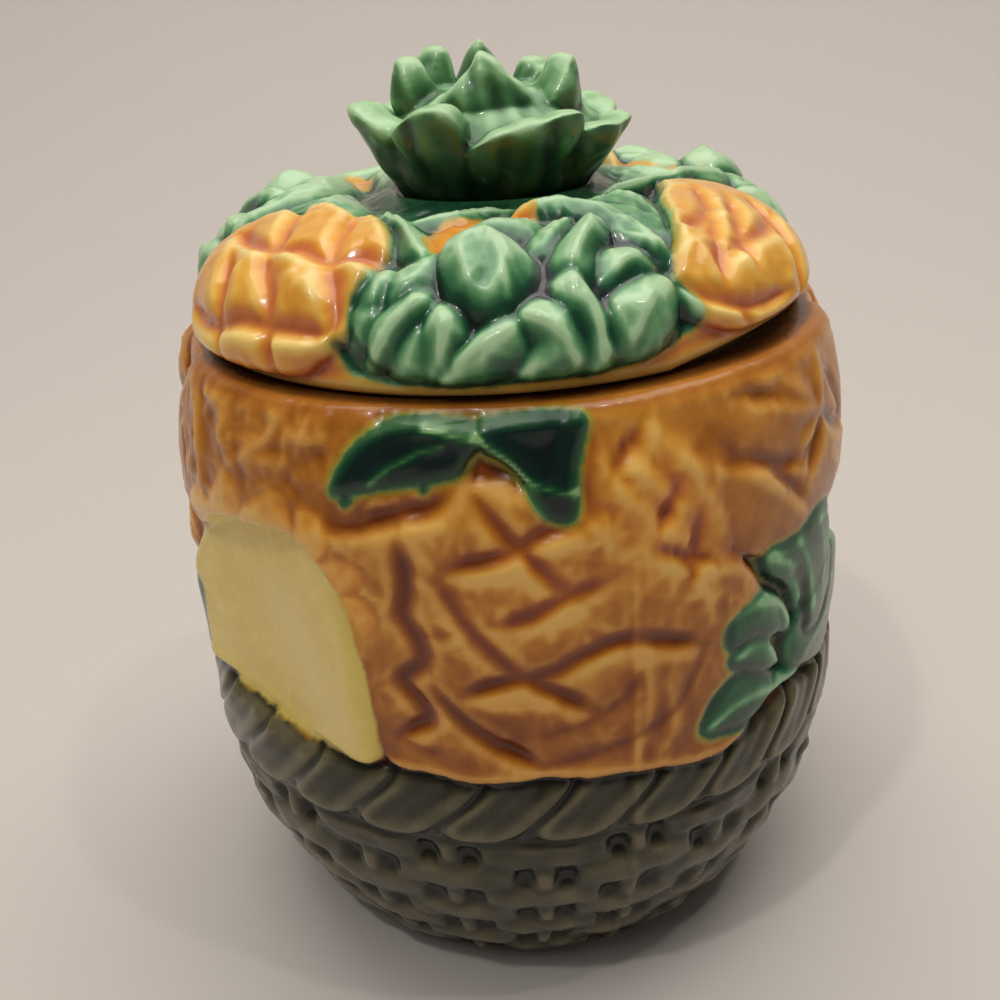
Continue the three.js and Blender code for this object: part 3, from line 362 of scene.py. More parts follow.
def smooth_line(points, closed=False, steps=4):
    """Rounds off a line of points with a Catmull-Rom curve."""
    points = np.asarray(points, float)
    if closed:
        ends = np.vstack([points[-1], points, points[0], points[1]])
    else:
        ends = np.vstack([2 * points[0] - points[1], points, 2 * points[-1] - points[-2]])
    line = []
    for a, b, c, d in zip(ends, ends[1:], ends[2:], ends[3:]):
        square = 2 * a - 5 * b + 4 * c - d
        cubic = 3 * b - a - 3 * c + d
        for t in np.arange(steps) / steps:
            line.append(0.5 * (2 * b + (c - a) * t + square * t**2 + cubic * t**3))
    line.append(line[0] if closed else points[-1])
    return np.array(line)


def height_on(pairs, x):
    """Height at x of the smooth curve through pairs of (x, height), as the turner's template has it."""
    at = np.array([p[0] for p in pairs], float)
    up = np.array([p[1] for p in pairs], float)
    k = np.clip(np.searchsorted(at, x, side="left") - 1, 0, len(at) - 2)
    last = len(at) - 1
    before = np.maximum(np.arange(last + 1) - 1, 0)
    after = np.minimum(np.arange(last + 1) + 1, last)
    slope = (up[after] - up[before]) / (at[after] - at[before])
    step = at[k + 1] - at[k]
    t = np.clip((x - at[k]) / step, 0, 1)
    start = up[k] * (2 * t**3 - 3 * t**2 + 1) + slope[k] * step * (t**3 - 2 * t**2 + t)
    return start + up[k + 1] * (3 * t**2 - 2 * t**3) + slope[k + 1] * step * (t**3 - t**2)


def template_curve(pairs, count):
    """Even steps along a spline through the pairs: points, tangents and the whole length."""
    points = np.array(pairs, float)
    held = np.vstack([points[0], points, points[-1]])
    fine = []
    for k in range(len(points) - 1):
        a, b, c, d = held[k:k + 4]
        slope_b = (c - a) * 0.5
        slope_c = (d - b) * 0.5
        cubic = 2 * b - 2 * c + slope_b + slope_c
        square = 3 * c - 3 * b - 2 * slope_b - slope_c
        for t in np.arange(40) / 40:
            fine.append(cubic * t**3 + square * t**2 + slope_b * t + b)
    fine.append(points[-1])
    fine = np.array(fine)
    run = np.concatenate([[0], np.cumsum(np.linalg.norm(np.diff(fine, axis=0), axis=1))])
    at = np.linspace(0, run[-1], count)
    path = np.stack([np.interp(at, run, fine[:, 0]), np.interp(at, run, fine[:, 1])], 1)
    tangent = np.gradient(path, axis=0)
    return path, tangent / np.linalg.norm(tangent, axis=1)[:, None], run[-1]


class Patch:
    """A rolled-out surface seen from an anchor angle: u is millimetres to its right, v millimetres up."""

    def __init__(self, angles, ups, arcs, anchor, unit=1.0):
        self.u = wrapped(angles[None, :] - anchor) * arcs[:, None]
        self.v = np.broadcast_to(ups[:, None], self.u.shape)
        self.unit = unit

    def _reach(self, line, margin):
        low = line.min(0) - margin
        high = line.max(0) + margin
        return (self.u > low[0]) & (self.u < high[0]) & (self.v > low[1]) & (self.v < high[1])

    def _scaled(self, points):
        return np.asarray(points, float) * (self.unit, 1.0)

    def distance(self, points, margin=6.0, closed=False):
        """Distance from a smooth line through the points, and FAR beyond the margin."""
        line = smooth_line(self._scaled(points), closed)
        near = self._reach(line, margin)
        u, v = self.u[near], self.v[near]
        best = np.full(u.shape, FAR)
        for (au, av), (bu, bv) in zip(line, line[1:]):
            du, dv = bu - au, bv - av
            t = np.clip(((u - au) * du + (v - av) * dv) / max(du * du + dv * dv, 1e-9), 0, 1)
            best = np.minimum(best, np.hypot(u - au - t * du, v - av - t * dv))
        result = np.full(self.u.shape, FAR)
        result[near] = best
        return result

    def nearest(self, lines, margin=6.0, taper=0.0):
        """Distance from the nearest of some lines, which a taper lets fade out at their ends."""
        result = np.full(self.u.shape, FAR)
        for points in lines:
            away = self.distance(points, margin)
            for u, v in self._scaled((points[0], points[-1])):
                away = away + taper * dip(np.hypot(self.u - u, self.v - v), 2.6)
            result = np.minimum(result, away)
        return result

    def inside(self, outline, margin=6.0):
        """Distance to a smooth outline, positive inside it."""
        line = smooth_line(self._scaled(outline), True)
        near = self._reach(line, margin)
        u, v = self.u[near], self.v[near]
        held = np.zeros(u.shape, bool)
        for (au, av), (bu, bv) in zip(line, line[1:]):
            crosses = (av > v) != (bv > v)
            held ^= crosses & (u < au + (v - av) / (bv - av if bv != av else 1e-9) * (bu - au))
        result = -self.distance(outline, margin, True)
        result[near] = np.where(held, -result[near], result[near])
        return result

    def swell(self, fruit):
        """Rounded body of a fruit, and how far out each place is: 0 at its middle, 1 at its edge."""
        _, middle, half_length, half_width, tilt, rise = fruit[:6]
        turn = math.radians(tilt)
        up = self.v - middle
        along = self.u * math.cos(turn) + up * math.sin(turn)
        across = up * math.cos(turn) - self.u * math.sin(turn)
        reach = np.hypot(along / half_length, across / half_width)
        return rise * np.sqrt(np.clip(1 - reach**2, 0, 1)), reach

    def unevenness(self, size, phase):
        """Slow waver of a hand-worked surface, between about -1 and 1."""
        a, b = self.u / size, self.v / size
        return 0.5 * np.sin(1.7 * a + 2.3 * b + phase) + 0.3 * np.sin(3.1 * a - 2.2 * b + 2 * phase) \
            + 0.2 * np.sin(5.3 * b + 2.9 * a + 3 * phase)


def folds(patch, phase):
    """Fine creases of a hand-worked surface, mostly upright, with sharp tops, between 0 and 1."""
    u = patch.u + 1.3 * patch.unevenness(7, phase)
    v = patch.v + 1.6 * patch.unevenness(9, phase + 2.0)
    total = np.zeros(u.shape)
    for across, up, start in ((0.95, 0.22, 0.3), (0.5, -0.42, 1.9), (0.24, 0.74, 4.1)):
        total = np.maximum(total, (1 - np.abs(np.sin(across * u + up * v + start + phase))) ** 1.6)
    strength = 0.55 + 0.45 * patch.unevenness(5, phase + 5.0)
    return total * strength


def blurred(height, row_width, column_width):
    """Softens a rolled-out relief by that many rows and columns; columns meet round the back."""
    def kernel(width):
        reach = max(int(math.ceil(3 * width)), 1)
        weights = np.exp(-0.5 * (np.arange(-reach, reach + 1) / width) ** 2)
        return reach, weights / weights.sum()
    reach, weights = kernel(row_width)
    padded = np.pad(height, ((reach, reach), (0, 0)), mode="edge")
    soft = sum(w * padded[k:k + height.shape[0]] for k, w in enumerate(weights))
    reach, weights = kernel(column_width)
    padded = np.pad(soft, ((0, 0), (reach, reach)), mode="wrap")
    return sum(w * padded[:, k:k + height.shape[1]] for k, w in enumerate(weights))


def leaning(height, step):
    """Slope of a relief: positive where it hangs over, where glaze gathers and shade is painted; negative
    where it faces up.
    """
    return np.clip(np.gradient(blurred(height, 1.0, 1.4), step, axis=0), -0.8, 0.8)


# Relief shared by the jar and the lid

def lapped(patch, from_groove):
    """Eyes as lapping scales: steep just below the groove above, then sloping down to the groove below."""
    cut = from_groove < 0.9
    above = np.full(cut.shape, LAP_REACH)
    below = np.full(cut.shape, LAP_REACH)
    steps = list(enumerate(np.diff(patch.v[:, 0])))
    for k, step in steps:
        below[k + 1] = np.where(cut[k + 1], 0, np.minimum(below[k] + step, LAP_REACH))
    for k, step in reversed(steps):
        above[k] = np.where(cut[k], 0, np.minimum(above[k + 1] + step, LAP_REACH))
    height = below + above
    share = below / (height + 0.01) * (1 - np.exp(-above / 0.7)) * np.minimum(height / 6, 1)
    return blurred(share, 0.7, 2.0)


def carve(patch, grooves, faint, creases, rise, depth, brim=0.12):
    """Eyes between drawn grooves, lapping like scales, with raised brims and sharp creases."""
    main = patch.nearest(grooves, taper=1.1)
    fine = patch.nearest(faint) if faint else np.full(main.shape, FAR)
    gap = np.minimum(main, fine * 1.3 + 0.8)
    crown = 0.3 * (1 - np.exp(-(gap / 1.2) ** 1.5)) + 0.25 * np.minimum(gap, 4.5) / 4.5
    eyes = rise * (crown + 0.95 * lapped(patch, main))
    height = eyes - depth * dip(main, 1.0) - 0.5 * depth * dip(fine, 0.9) + brim * dip(main - 2.0, 0.6)
    return height + 0.75 * wedge(patch.nearest(creases, taper=0.8), 2.4) ** 1.15


def carve_cells(patch, families, rise):
    """Eyes between two families of even grooves, each faceted about an off-centre point."""
    u = patch.u + 0.7 * patch.unevenness(13, 1.1)
    v = patch.v + 0.7 * patch.unevenness(11, 2.7)
    parts = []
    edges = []
    for k, (direction, width) in enumerate(families):
        turn = math.radians(direction)
        place = (v * math.cos(turn) - u * math.sin(turn)) / width
        local = 2 * (place - np.round(place))
        peak = 0.25 * (-1) ** k
        parts.append(np.where(local < peak, (1 + local) / (1 + peak), (1 - local) / (1 - peak)))
        edges.append((1 - np.abs(local)) * width / 2)
    nearest = np.minimum(*edges)
    shoulder = 0.3 * (1 - np.exp(-(nearest / 1.3) ** 1.5))
    return rise * (shoulder + 0.8 * np.minimum(*parts)) - 0.4 * dip(nearest, 1.3)


def heaped(height, body, reach, eyes):
    """Adds a fruit to the heap: the higher of the two counts, and its eyes fade out at its edge."""
    fruit = body + (eyes + GROUND) * eased(1 - reach, 0, 0.12)
    return np.maximum(height, np.where(reach < 1, fruit, -FAR))


def lay_leaf(height, inside, rise, shoulder, dish):
    """Lays a plump leaf over the relief, round at its edge and hollowed a little towards its middle."""
    share = eased(inside, -0.3, 0.4)
    swell = rise * (1 - np.exp(-np.clip(inside + 0.25, 0, 9) / shoulder))
    blade = swell - dish * eased(inside, 1.0, 4.0)
    return between(height, between(height, LEAF_GROUND, LEAF_COVER) + blade, share)


# Building turned pieces

def start_piece(name):
    """Deselects everything, so that the next primitive is worked on alone."""
    if bpy.context.object and bpy.context.object.mode != "OBJECT":
        bpy.ops.object.mode_set(mode="OBJECT")
    bpy.ops.object.select_all(action="DESELECT")
    if name in bpy.data.objects:
        raise RuntimeError(f"{name} has been made already")


def apply_last_modifier(piece):
    bpy.ops.object.modifier_apply(modifier=piece.modifiers[-1].name)


def turn_on_wheel(name, profile, columns):
    """Extrudes a profile of (radius, height) in millimetres from one corner and spins it round the axis."""
    start_piece(name)
    bpy.ops.mesh.primitive_plane_add(size=0.001)
    piece = bpy.context.object
    piece.name = name
    piece.data.name = name
    points = [Vector((r / 1000, 0, z / 1000)) for r, z in profile]
    bpy.ops.object.mode_set(mode="EDIT")
    bpy.ops.mesh.select_mode(type="VERT")
    bpy.ops.mesh.select_all(action="SELECT")
    bpy.ops.mesh.merge(type="CENTER")
    bpy.ops.transform.translate(value=points[0])
    for a, b in zip(points, points[1:]):
        bpy.ops.mesh.extrude_region_move(TRANSFORM_OT_translate={"value": b - a})
    bpy.ops.object.mode_set(mode="OBJECT")
    bpy.ops.object.modifier_add(type="SCREW")
    piece.modifiers[-1].steps = columns
    piece.modifiers[-1].render_steps = columns
    piece.modifiers[-1].use_merge_vertices = True
    piece.modifiers[-1].merge_threshold = 1e-6
    apply_last_modifier(piece)
    bpy.ops.object.mode_set(mode="EDIT")
    bpy.ops.mesh.select_all(action="SELECT")
    bpy.ops.mesh.remove_doubles(threshold=1e-6)
    bpy.ops.mesh.normals_make_consistent(inside=False)
    bpy.ops.object.mode_set(mode="OBJECT")
    bpy.ops.object.shade_smooth()
    return piece


def places(piece):
    """Vertices of a piece in millimetres."""
    flat = np.zeros(len(piece.data.vertices) * 3)
    piece.data.vertices.foreach_get("co", flat)
    return flat.reshape(-1, 3) * 1000


def move_to(piece, points):
    piece.data.vertices.foreach_set("co", (points / 1000).ravel())
    piece.data.update()


def move_round(piece, radius, turn, height):
    """Moves the vertices to radii and heights in millimetres, turned from the front in radians."""
    move_to(piece, np.stack([radius * np.sin(turn), -radius * np.cos(turn), height], 1))


def rows_and_columns(piece, profile, columns):
    """Row and column of the rolled-out surface that each vertex stands on."""
    points = places(piece)
    radius = np.hypot(points[:, 0], points[:, 1])
    profile = np.asarray(profile)
    row = np.empty(len(points), int)
    for part in np.array_split(np.arange(len(points)), 12):
        across = radius[part, None] - profile[None, :, 0]
        up = points[part, 2, None] - profile[None, :, 1]
        row[part] = np.hypot(across, up).argmin(1)
    turn = np.degrees(np.arctan2(points[:, 0], -points[:, 1])) + 180
    return row, np.round(turn / (360 / columns)).astype(int) % columns


def keep_values(piece, name, values):
    """Keeps one number for each vertex, which the glaze reads."""
    attribute = piece.data.attributes.new(name, "FLOAT", "POINT")
    attribute.data.foreach_set("value", np.asarray(values, np.float32))


def keep_depths(piece, where, relief, wide, narrow, step, share=1.0):
    """Keeps how deep each place lies in wide and in narrow surroundings, and how much it hangs over."""
    keep_values(piece, "hollow", ((blurred(relief, *wide) - relief) * share)[where])
    keep_values(piece, "crease", ((blurred(relief, *narrow) - relief) * share)[where])
    keep_values(piece, "lean", (leaning(relief, step) * share)[where])


def front_crowded(columns):
    """Angles of the columns, closer together at the front, which carries the finest relief."""
    t = np.arange(columns) / columns
    return -180 + 360 * (t + 0.24 * np.sin(2 * math.pi * t) / (2 * math.pi))


# Jar

def slice_face(patch, radius):
    """Height of the flat slice over the wall, how much of it counts, and distance inside its outline."""
    inside = patch.inside(SLICE_OUTLINE, 9)
    turn = np.radians(wrapped(patch.u / ARC - SLICE_MIDDLE))
    plane = SLICE_PLANE / np.cos(np.clip(turn, -1.2, 1.2))
    return np.minimum(plane - radius[:, None], SLICE_TOP), eased(inside, -0.3, 1.0), inside


def heap_relief(patch_at, radius):
    """Relief of the heaped fruits, before any leaf."""
    patch = patch_at(0)
    height = np.full(patch.u.shape, GROUND) + 0.3 * patch.unevenness(7, 0.4) + 0.5 * folds(patch, 3.1)
    for fruit in BACK_FRUITS:
        own = patch_at(fruit[0])
        body, reach = own.swell(fruit)
        height = heaped(height, body, reach, carve_cells(own, fruit[6:8], 1.2) + 0.3 * folds(own, 0.7))
    body, reach = patch_at(LEFT_FRUIT[0]).swell(LEFT_FRUIT)
    left = carve(patch, LEFT_PITS, None, LEFT_CREASES, 0.8, 0.5) + 0.5 * folds(patch, 1.9)
    height = heaped(height, body, reach, left)
    height = np.maximum(height, front_fruits(patch, patch_at(FRONT_FRUIT[0])))
    inside = patch.inside(RIGHT_OUTLINE, 14)
    body = 1.7 * np.sqrt(np.clip(1 - (1 - np.clip(inside / 15, 0, 1)) ** 2, 0, 1))
    right = carve(patch, RIGHT_GROOVES, None, RIGHT_CREASES, 0.9, 0.3) + 0.15 * folds(patch, 2.2)
    height = np.maximum(height, np.where(inside > 0, body + right + GROUND, -FAR))
    face, share, inside = slice_face(patch, radius)
    height = between(height, face - 0.3 * dip(inside, 0.8), share)
    for outline in SKIN_TIPS:
        tip = patch.inside(outline)
        edge = 0.5 * (1 - np.exp(-np.clip(tip, 0, 9) / 0.9))
        skin = between(height, 1.0, 0.6) + edge + 0.45 * folds(patch, 5.1)
        height = between(height, skin, eased(tip, -0.3, 0.4))
    return height, inside


def front_fruits(patch, front_patch):
    """The front fruit and the bright one behind it, which share one skin of drawn eyes."""
    body, reach = front_patch.swell(FRONT_FRUIT)
    grooves = FRONT_GROOVES + MIDDLE_GROOVES
    eyes = carve(patch, grooves, FRONT_FAINT, FRONT_CREASES + MIDDLE_CREASES, 1.35, 0.18)
    lively = between(0.28, 0.55, eased(patch.v, 54, 68))
    eyes = eyes + lively * folds(patch, 0.9) * eased(patch.nearest(FRONT_GROOVES), 0.8, 2.4)
    middle = dip(np.hypot(patch.u - 20 * ARC, (patch.v - 82) * 0.8), 13)
    own = np.maximum(body, 1.1 * middle)
    covered = np.maximum(eased(1 - reach, 0, 0.08), middle)
    return np.where((reach < 1) | (middle > 0.35), own + (eyes + GROUND) * covered, -FAR)


def wall_leaves(patch_at, height):
    """Lays the leaves over the wall. Returns the new relief, how far inside the glaze is, and the ribs."""
    glaze = np.full(height.shape, -FAR)
    rim_leaf = np.full(height.shape, -FAR)
    rib = np.zeros(height.shape)
    # Angle, outlines, ribs and runs of glaze, then rise, shoulder, dish and rise of the ribs
    sets = [(turn, RIM_LEAVES, RIM_RIBS, RIM_RUNS, 1.0, 1.1, 0.55, 0.45) for turn in RIM_TURNS]
    sets += [(turn, FAN_LEAVES, FAN_RIBS, [], 2.1, 2.2, 0.1, 0.35) for turn in FAN_TURNS]
    sets += [(0, BACK_LEAVES, BACK_RIBS, [], 1.3, 1.5, 0.3, 0.5)]
    for turn, leaves, ribs, runs, rise, shoulder, dish, rib_rise in sets:
        patch = patch_at(turn)
        for outline in leaves:
            inside = patch.inside(outline)
            height = lay_leaf(height, inside, rise, shoulder, dish)
            glaze = np.maximum(glaze, inside + 0.4)
            if leaves is RIM_LEAVES:
                rim_leaf = np.maximum(rim_leaf, inside + 0.6)
        for outline in runs:
            glaze = np.maximum(glaze, patch.inside(outline) + 0.3)
        from_rib = patch.nearest(ribs)
        height = height + rib_rise * wedge(from_rib, 2.0) ** 1.3 * eased(glaze, 0, 0.8)
        rib = np.maximum(rib, dip(from_rib, 0.45 if leaves is RIM_LEAVES else 0.7))
        if leaves is FAN_LEAVES:
            height = height - 0.8 * dip(patch.nearest(FAN_GAPS), 0.9)
    return height, {"leaf": glaze, "rim_leaf": rim_leaf, "rib": rib}


def rope_relief(patch):
    """Twisted border: slanting dished strands with raised edges, over a thin cord."""
    half = ROPE_HALF_HEIGHT
    up = patch.v - ROPE_MIDDLE
    angle = patch.u / ARC + 0.6 * patch.unevenness(14, 3.3)
    width = 360 / ROPE_STRANDS
    local = (angle - 1.2 * up + 0.012 * up**3 + 4.0) / width
    across = 2 * (local - np.round(local))
    to_groove = (1 - np.abs(across)) * width / 2 * ARC * 0.72
    to_bottom = up + half - 0.2 - 2.6 * np.abs(across) ** 2.6
    edge = -np.log(np.exp(-2.2 * to_groove) + np.exp(-2.2 * to_bottom)) / 2.2
    strand = 1.35 * eased(edge, -0.6, 1.0) + 0.35 * dip(edge - 0.8, 0.4) - 0.6 * eased(edge, 0.9, 4.2)
    strand = strand + 0.14 * np.cos(9 * across + 0.8) * eased(edge, 0.8, 1.8)
    groove = 0.4 * dip(to_groove, 0.8) * eased(up, -half + 1.2, -half + 3.5)
    body = np.sqrt(np.clip(1 - (np.clip(up, 0, 99) / (half + 0.6)) ** 2, 0, 1))
    height = (strand - groove + 0.1) * body * eased(up, -half - 0.3, -half + 0.5)
    cord = ROPE_MIDDLE - half - 0.7
    return height - 0.45 * dip(patch.v - cord - 0.6, 0.6) + 0.35 * dip(patch.v - cord + 0.6, 0.55)


def weave_relief(patch):
    """Woven rows: long strips that swell between a pair of soft holes each side of a stake."""
    angle = patch.u / ARC + 0.5 * patch.unevenness(9, 0.8)
    v = patch.v + 0.45 * patch.unevenness(12, 2.1)
    row = np.round((WEAVE_TOP - v) / WEAVE_PITCH)
    from_row = (WEAVE_TOP - v - row * WEAVE_PITCH) / (WEAVE_PITCH / 2)
    shift = np.where(row % 2 == 0, 0.0, STAKE_PERIOD / 2) + 0.5 * np.sin(2.1 * row)
    turn = (angle - FIRST_STAKE - shift) / STAKE_PERIOD
    from_stake = (turn - np.round(turn)) * STAKE_PERIOD
    swell = 0.45 + 0.55 * eased(np.abs(from_stake), 5.0, 12.0)
    strip = 0.8 * np.sqrt(np.clip(1 - from_row**2, 0, 1)) * swell
    hole_u = np.abs(np.abs(from_stake) - HOLE_OFFSET) * ARC
    hole = np.exp(-(hole_u / 1.6) ** 4 - (from_row / 0.72) ** 6)
    stake = 0.5 * dip(from_stake * ARC, 1.0) * dip(from_row, 0.8)
    return strip + stake - 1.35 * hole - 0.6 + 0.22 * patch.unevenness(3, 0.5)


def wall_relief(patch_at, ups, radius):
    """Relief of the whole wall and the values that its glaze reads."""
    patch = patch_at(0)
    edge = height_on(BASKET_EDGE, wrapped(patch.u[0] / ARC))[None, :]
    edge = edge + 0.35 * patch.unevenness(4, 0.3)[:1]
    heap, slice_inside = heap_relief(patch_at, radius)
    woven = np.where(patch.v < 33.6, weave_relief(patch), 0) * eased(33.9 - patch.v, 0, 0.5)
    basket = woven + rope_relief(patch)
    share = eased(patch.v - edge, -0.35, 0.35)
    lip = 0.5 * dip(patch.v - edge - 0.9, 0.8) - 0.5 * dip(patch.v - edge + 0.2, 0.55)
    height = between(basket, heap, share) + lip
    height, leaf_values = wall_leaves(patch_at, height)
    for turn in SEAM_TURNS:
        height = height + 0.28 * dip(patch_at(turn).u, 0.45) * eased(78 - patch.v, 0, 6)
    fade = eased(ups, 1, 3) * (1 - 0.25 * eased(ups, 91.2, 92.4))
    height = blurred(height * fade[:, None], 0.55, 0.6)
    return height, leaf_values | {"basket": edge - patch.v, "slice": slice_inside} | skin_values(patch)


def skin_values(patch):
    """Where the fruits are coloured brighter or duller, and the grain of the slice."""
    hot = dip(np.hypot(patch.u - 22 * ARC, (patch.v - 80) * 0.9), 11)
    for outline in SKIN_TIPS:
        hot = np.maximum(hot, 0.9 * eased(patch.inside(outline), -0.6, 0.8))
    hot = np.maximum(hot, 0.6 * dip(np.hypot(patch.u - 3 * ARC, patch.v - 73), 11))
    left = dip(np.hypot((patch.u + 40 * ARC) * 0.7, patch.v - 88), 8)
    right = 0.75 * eased(patch.inside(RIGHT_OUTLINE, 9), -1, 4)
    across, up = patch.u - SLICE_CENTRE[0] * ARC, patch.v - SLICE_CENTRE[1]
    turn = np.arctan2(up, across)
    away = np.hypot(up, across)
    waves = np.sin(23 * turn + 0.9) + 0.8 * np.sin(37 * turn + 0.12 * away) + 0.6 * np.sin(61 * turn)
    return {
        "hot": hot, "dull": np.maximum(left, right), "core": dip(patch.distance(SLICE_CORE, 16), 6),
        "fibre": waves * eased(away, 2, 9),
    }


def jar_profile(sizes, heights):
    """Parts of the jar's outline from the middle of its foot, up the wall and down its inside."""
    rim, mouth, thickness = (s * 1000 for s in (sizes.rim_height, sizes.mouth_radius, sizes.wall_thickness))
    wall = [(float(height_on(WALL, z)) - 0.3 * max(float(z) - 91, 0) ** 2, float(z)) for z in heights]
    lip = [
        (44.9, rim - 0.5), (44.4, rim - 0.2), (43.8, rim - 0.05), (43.1, rim), (40.6, rim),
        (39.6, rim - 0.15), (mouth, rim - 0.8),
    ]
    throat = [(mouth, 90), (mouth + 1.2, 87)]
    hollow = [(float(height_on(WALL, z)) - thickness, float(z)) for z in np.linspace(82, 10, 9)]
    return FOOT, wall, lip + throat, hollow, JAR_FLOOR


def build_jar(sizes):
    """Turns the jar, moves its wall by the relief and glazes it."""
    rim = sizes.rim_height * 1000
    heights = np.concatenate([np.linspace(1.8, 31, 42), np.linspace(31, rim - 0.9, 110)[1:]])
    parts = jar_profile(sizes, heights)
    profile = [point for part in parts for point in part]
    first, above, hollow_start, floor_start = np.cumsum([len(part) for part in parts])[:4]
    columns = sizes.columns
    jar = turn_on_wheel("glazed_jar", profile, columns)
    row, column = rows_and_columns(jar, profile, columns)
    angles = front_crowded(columns)
    radius = np.array([r for r, _ in parts[1]])
    arcs = np.full(len(heights), ARC)

    def patch_at(anchor):
        return Patch(angles, heights, arcs, anchor, ARC)

    height, values = wall_relief(patch_at, heights, radius)
    relief = np.zeros((len(profile), columns))
    relief[first:above] = height
    # The relief runs out over the rounded lip, and the hollow gives way behind the flat slice
    for k, share in enumerate((0.85, 0.7, 0.4, 0.1)):
        relief[above + k] = share * height[-1]
    face, share, _ = slice_face(patch_at(0), radius)
    wall_dent = np.minimum(face, 0) * share
    for k in range(hollow_start, floor_start):
        nearest = int(np.abs(heights - profile[k][1]).argmin())
        relief[k] = wall_dent[nearest]
    points = places(jar)
    turn = np.radians(angles[column])
    distance = np.hypot(points[:, 0], points[:, 1])
    distance = np.where(distance > 0.01, distance + relief[row, column], 0)
    held = WIDEST + WIDEST_PLAY * (1 - np.exp((WIDEST - distance) / WIDEST_PLAY))
    distance = np.where(distance > WIDEST, held, distance)
    move_round(jar, distance, turn, points[:, 2])
    full = np.zeros((len(profile), columns))
    full[first:above] = height
    full[above:] = height[-1]
    open_air = (1 - eased(np.array([z for _, z in profile]), 91.8, 93.1))[:, None]
    keep_depths(jar, (row, column), full, (3.6, 4.6), (1.3, 1.7), 0.56, open_air)
    # Past the wall's top row a leaf ends soon, and all other glazes run on
    past_wall = np.arange(1, len(profile) - above + 1)[:, None]
    for name, value in values.items():
        beyond = past_wall * (0.6 if "leaf" in name else 0.0)
        spread = np.vstack([np.repeat(value[:1], first, 0), value, value[-1:] - beyond])
        keep_values(jar, name, spread[row, column])
    keep_values(jar, "inner", (row > above + 5).astype(float))
    keep_values(jar, "bare", (row < BARE_ROWS).astype(float))
    jar.data.materials.append(jar_glaze(bpy.context.scene.glaze_finish))
    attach(jar, "jar")
    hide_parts("jar_body")


# Lid

def crest_relief(patch):
    """One leafy crest: its relief, distance inside its outline, hollows between leaves, and ribs."""
    inside = patch.inside(CREST_OUTLINE, 12)
    reach = np.hypot(patch.u / 21.5, (patch.v - 14) / 17)
    mound = 1.9 * np.sqrt(np.clip(1 - reach**2, 0, 1)) - 0.6
    best = mound + 0.35 * folds(patch, 4.4)
    deep = np.full(patch.u.shape, -FAR)
    for outline, rise in CREST_LEAVES:
        within = patch.inside(outline) + 0.45
        edge = 1 - np.exp(-np.clip(within + 0.25, 0, 9) / 0.45)
        centre = np.mean(outline, 0)
        lean = np.clip(0.28 * (patch.v - centre[1]) - 0.14 * (patch.u - centre[0]), -0.6, 0.6)
        body = 0.3 * edge * (1 + lean) + 0.85 * np.clip(within / 2.7, 0, 1)
        blade = mound + rise * body + 0.4 * folds(patch, 2.8) * edge
        best = np.where(within > -0.25, np.maximum(best, blade), best)
        deep = np.maximum(deep, within)
    best = best - 0.7 * eased(-deep, 0.0, 1.2)
    from_rib = patch.nearest(CREST_RIBS)
    best = best + 0.4 * wedge(from_rib, 1.1) ** 1.2
    hollow = eased(inside, 1, 3) * eased(-deep, -0.3, 0.7) * (1 - eased(patch.v, 22, 26))
    return best, inside, hollow, dip(from_rib, 0.38) * eased(inside, 0, 1)


def lid_relief(patch_at):
    """Relief of the dome: three fruits and three leafy crests by turns round the knob."""
    patch = patch_at(0)
    height = np.full(patch.u.shape, -0.7)
    leaf = 0.9 * (patch.v - 31) + 0.8 * patch.unevenness(5, 0.7)
    grape = np.zeros(patch.u.shape)
    rib = np.zeros(patch.u.shape)
    for k, fruit in enumerate(LID_FRUITS):
        patch = patch_at(fruit[0])
        body, reach = patch.swell(fruit)
        if k == 0:
            eyes = carve(patch, LID_LEFT_GROOVES, None, LID_LEFT_CREASES, 1.05, 0.3, 0.12)
        elif k == 1:
            eyes = carve(patch, LID_RIGHT_GROOVES, None, LID_RIGHT_CREASES, 0.85, 0.3, 0.14)
        else:
            eyes = carve_cells(patch, ((92, 9.2), (4, 9.4)), 0.9)
        height = heaped(height, body, reach, eyes + 0.18 * folds(patch, 1.3 + k))
    for turn in CREST_TURNS:
        patch = patch_at(turn)
        crest, inside, hollow, ribs = crest_relief(patch)
        height = between(height, crest, eased(inside, -0.6, 0.8))
        rib = np.maximum(rib, ribs)
        leaf = np.maximum(leaf, np.minimum(inside, -patch.inside(CREST_ORANGE)))
        grape = np.maximum(grape, hollow * (0.35 + 0.65 * eased(patch.u, -9, 4)))
    # A spot of green at the left edge of the right fruit
    spot = patch_at(LID_FRUITS[1][0])
    leaf = np.maximum(leaf, 2.1 - np.hypot(spot.u + 17.6, (spot.v - 7.6) * 0.55))
    up = patch_at(0).v
    # foot marks the ring round the knob, which the glaze darkens: painted shadow of the knob over dark
    # green glaze
    return height, {
        "leaf": leaf, "grape": grape, "rib": rib, "foot": eased(up, 33, 37),
        "brim": 1 - eased(up, 0.3, 1.6), "low": 1 - eased(up, 2, 7),
    }


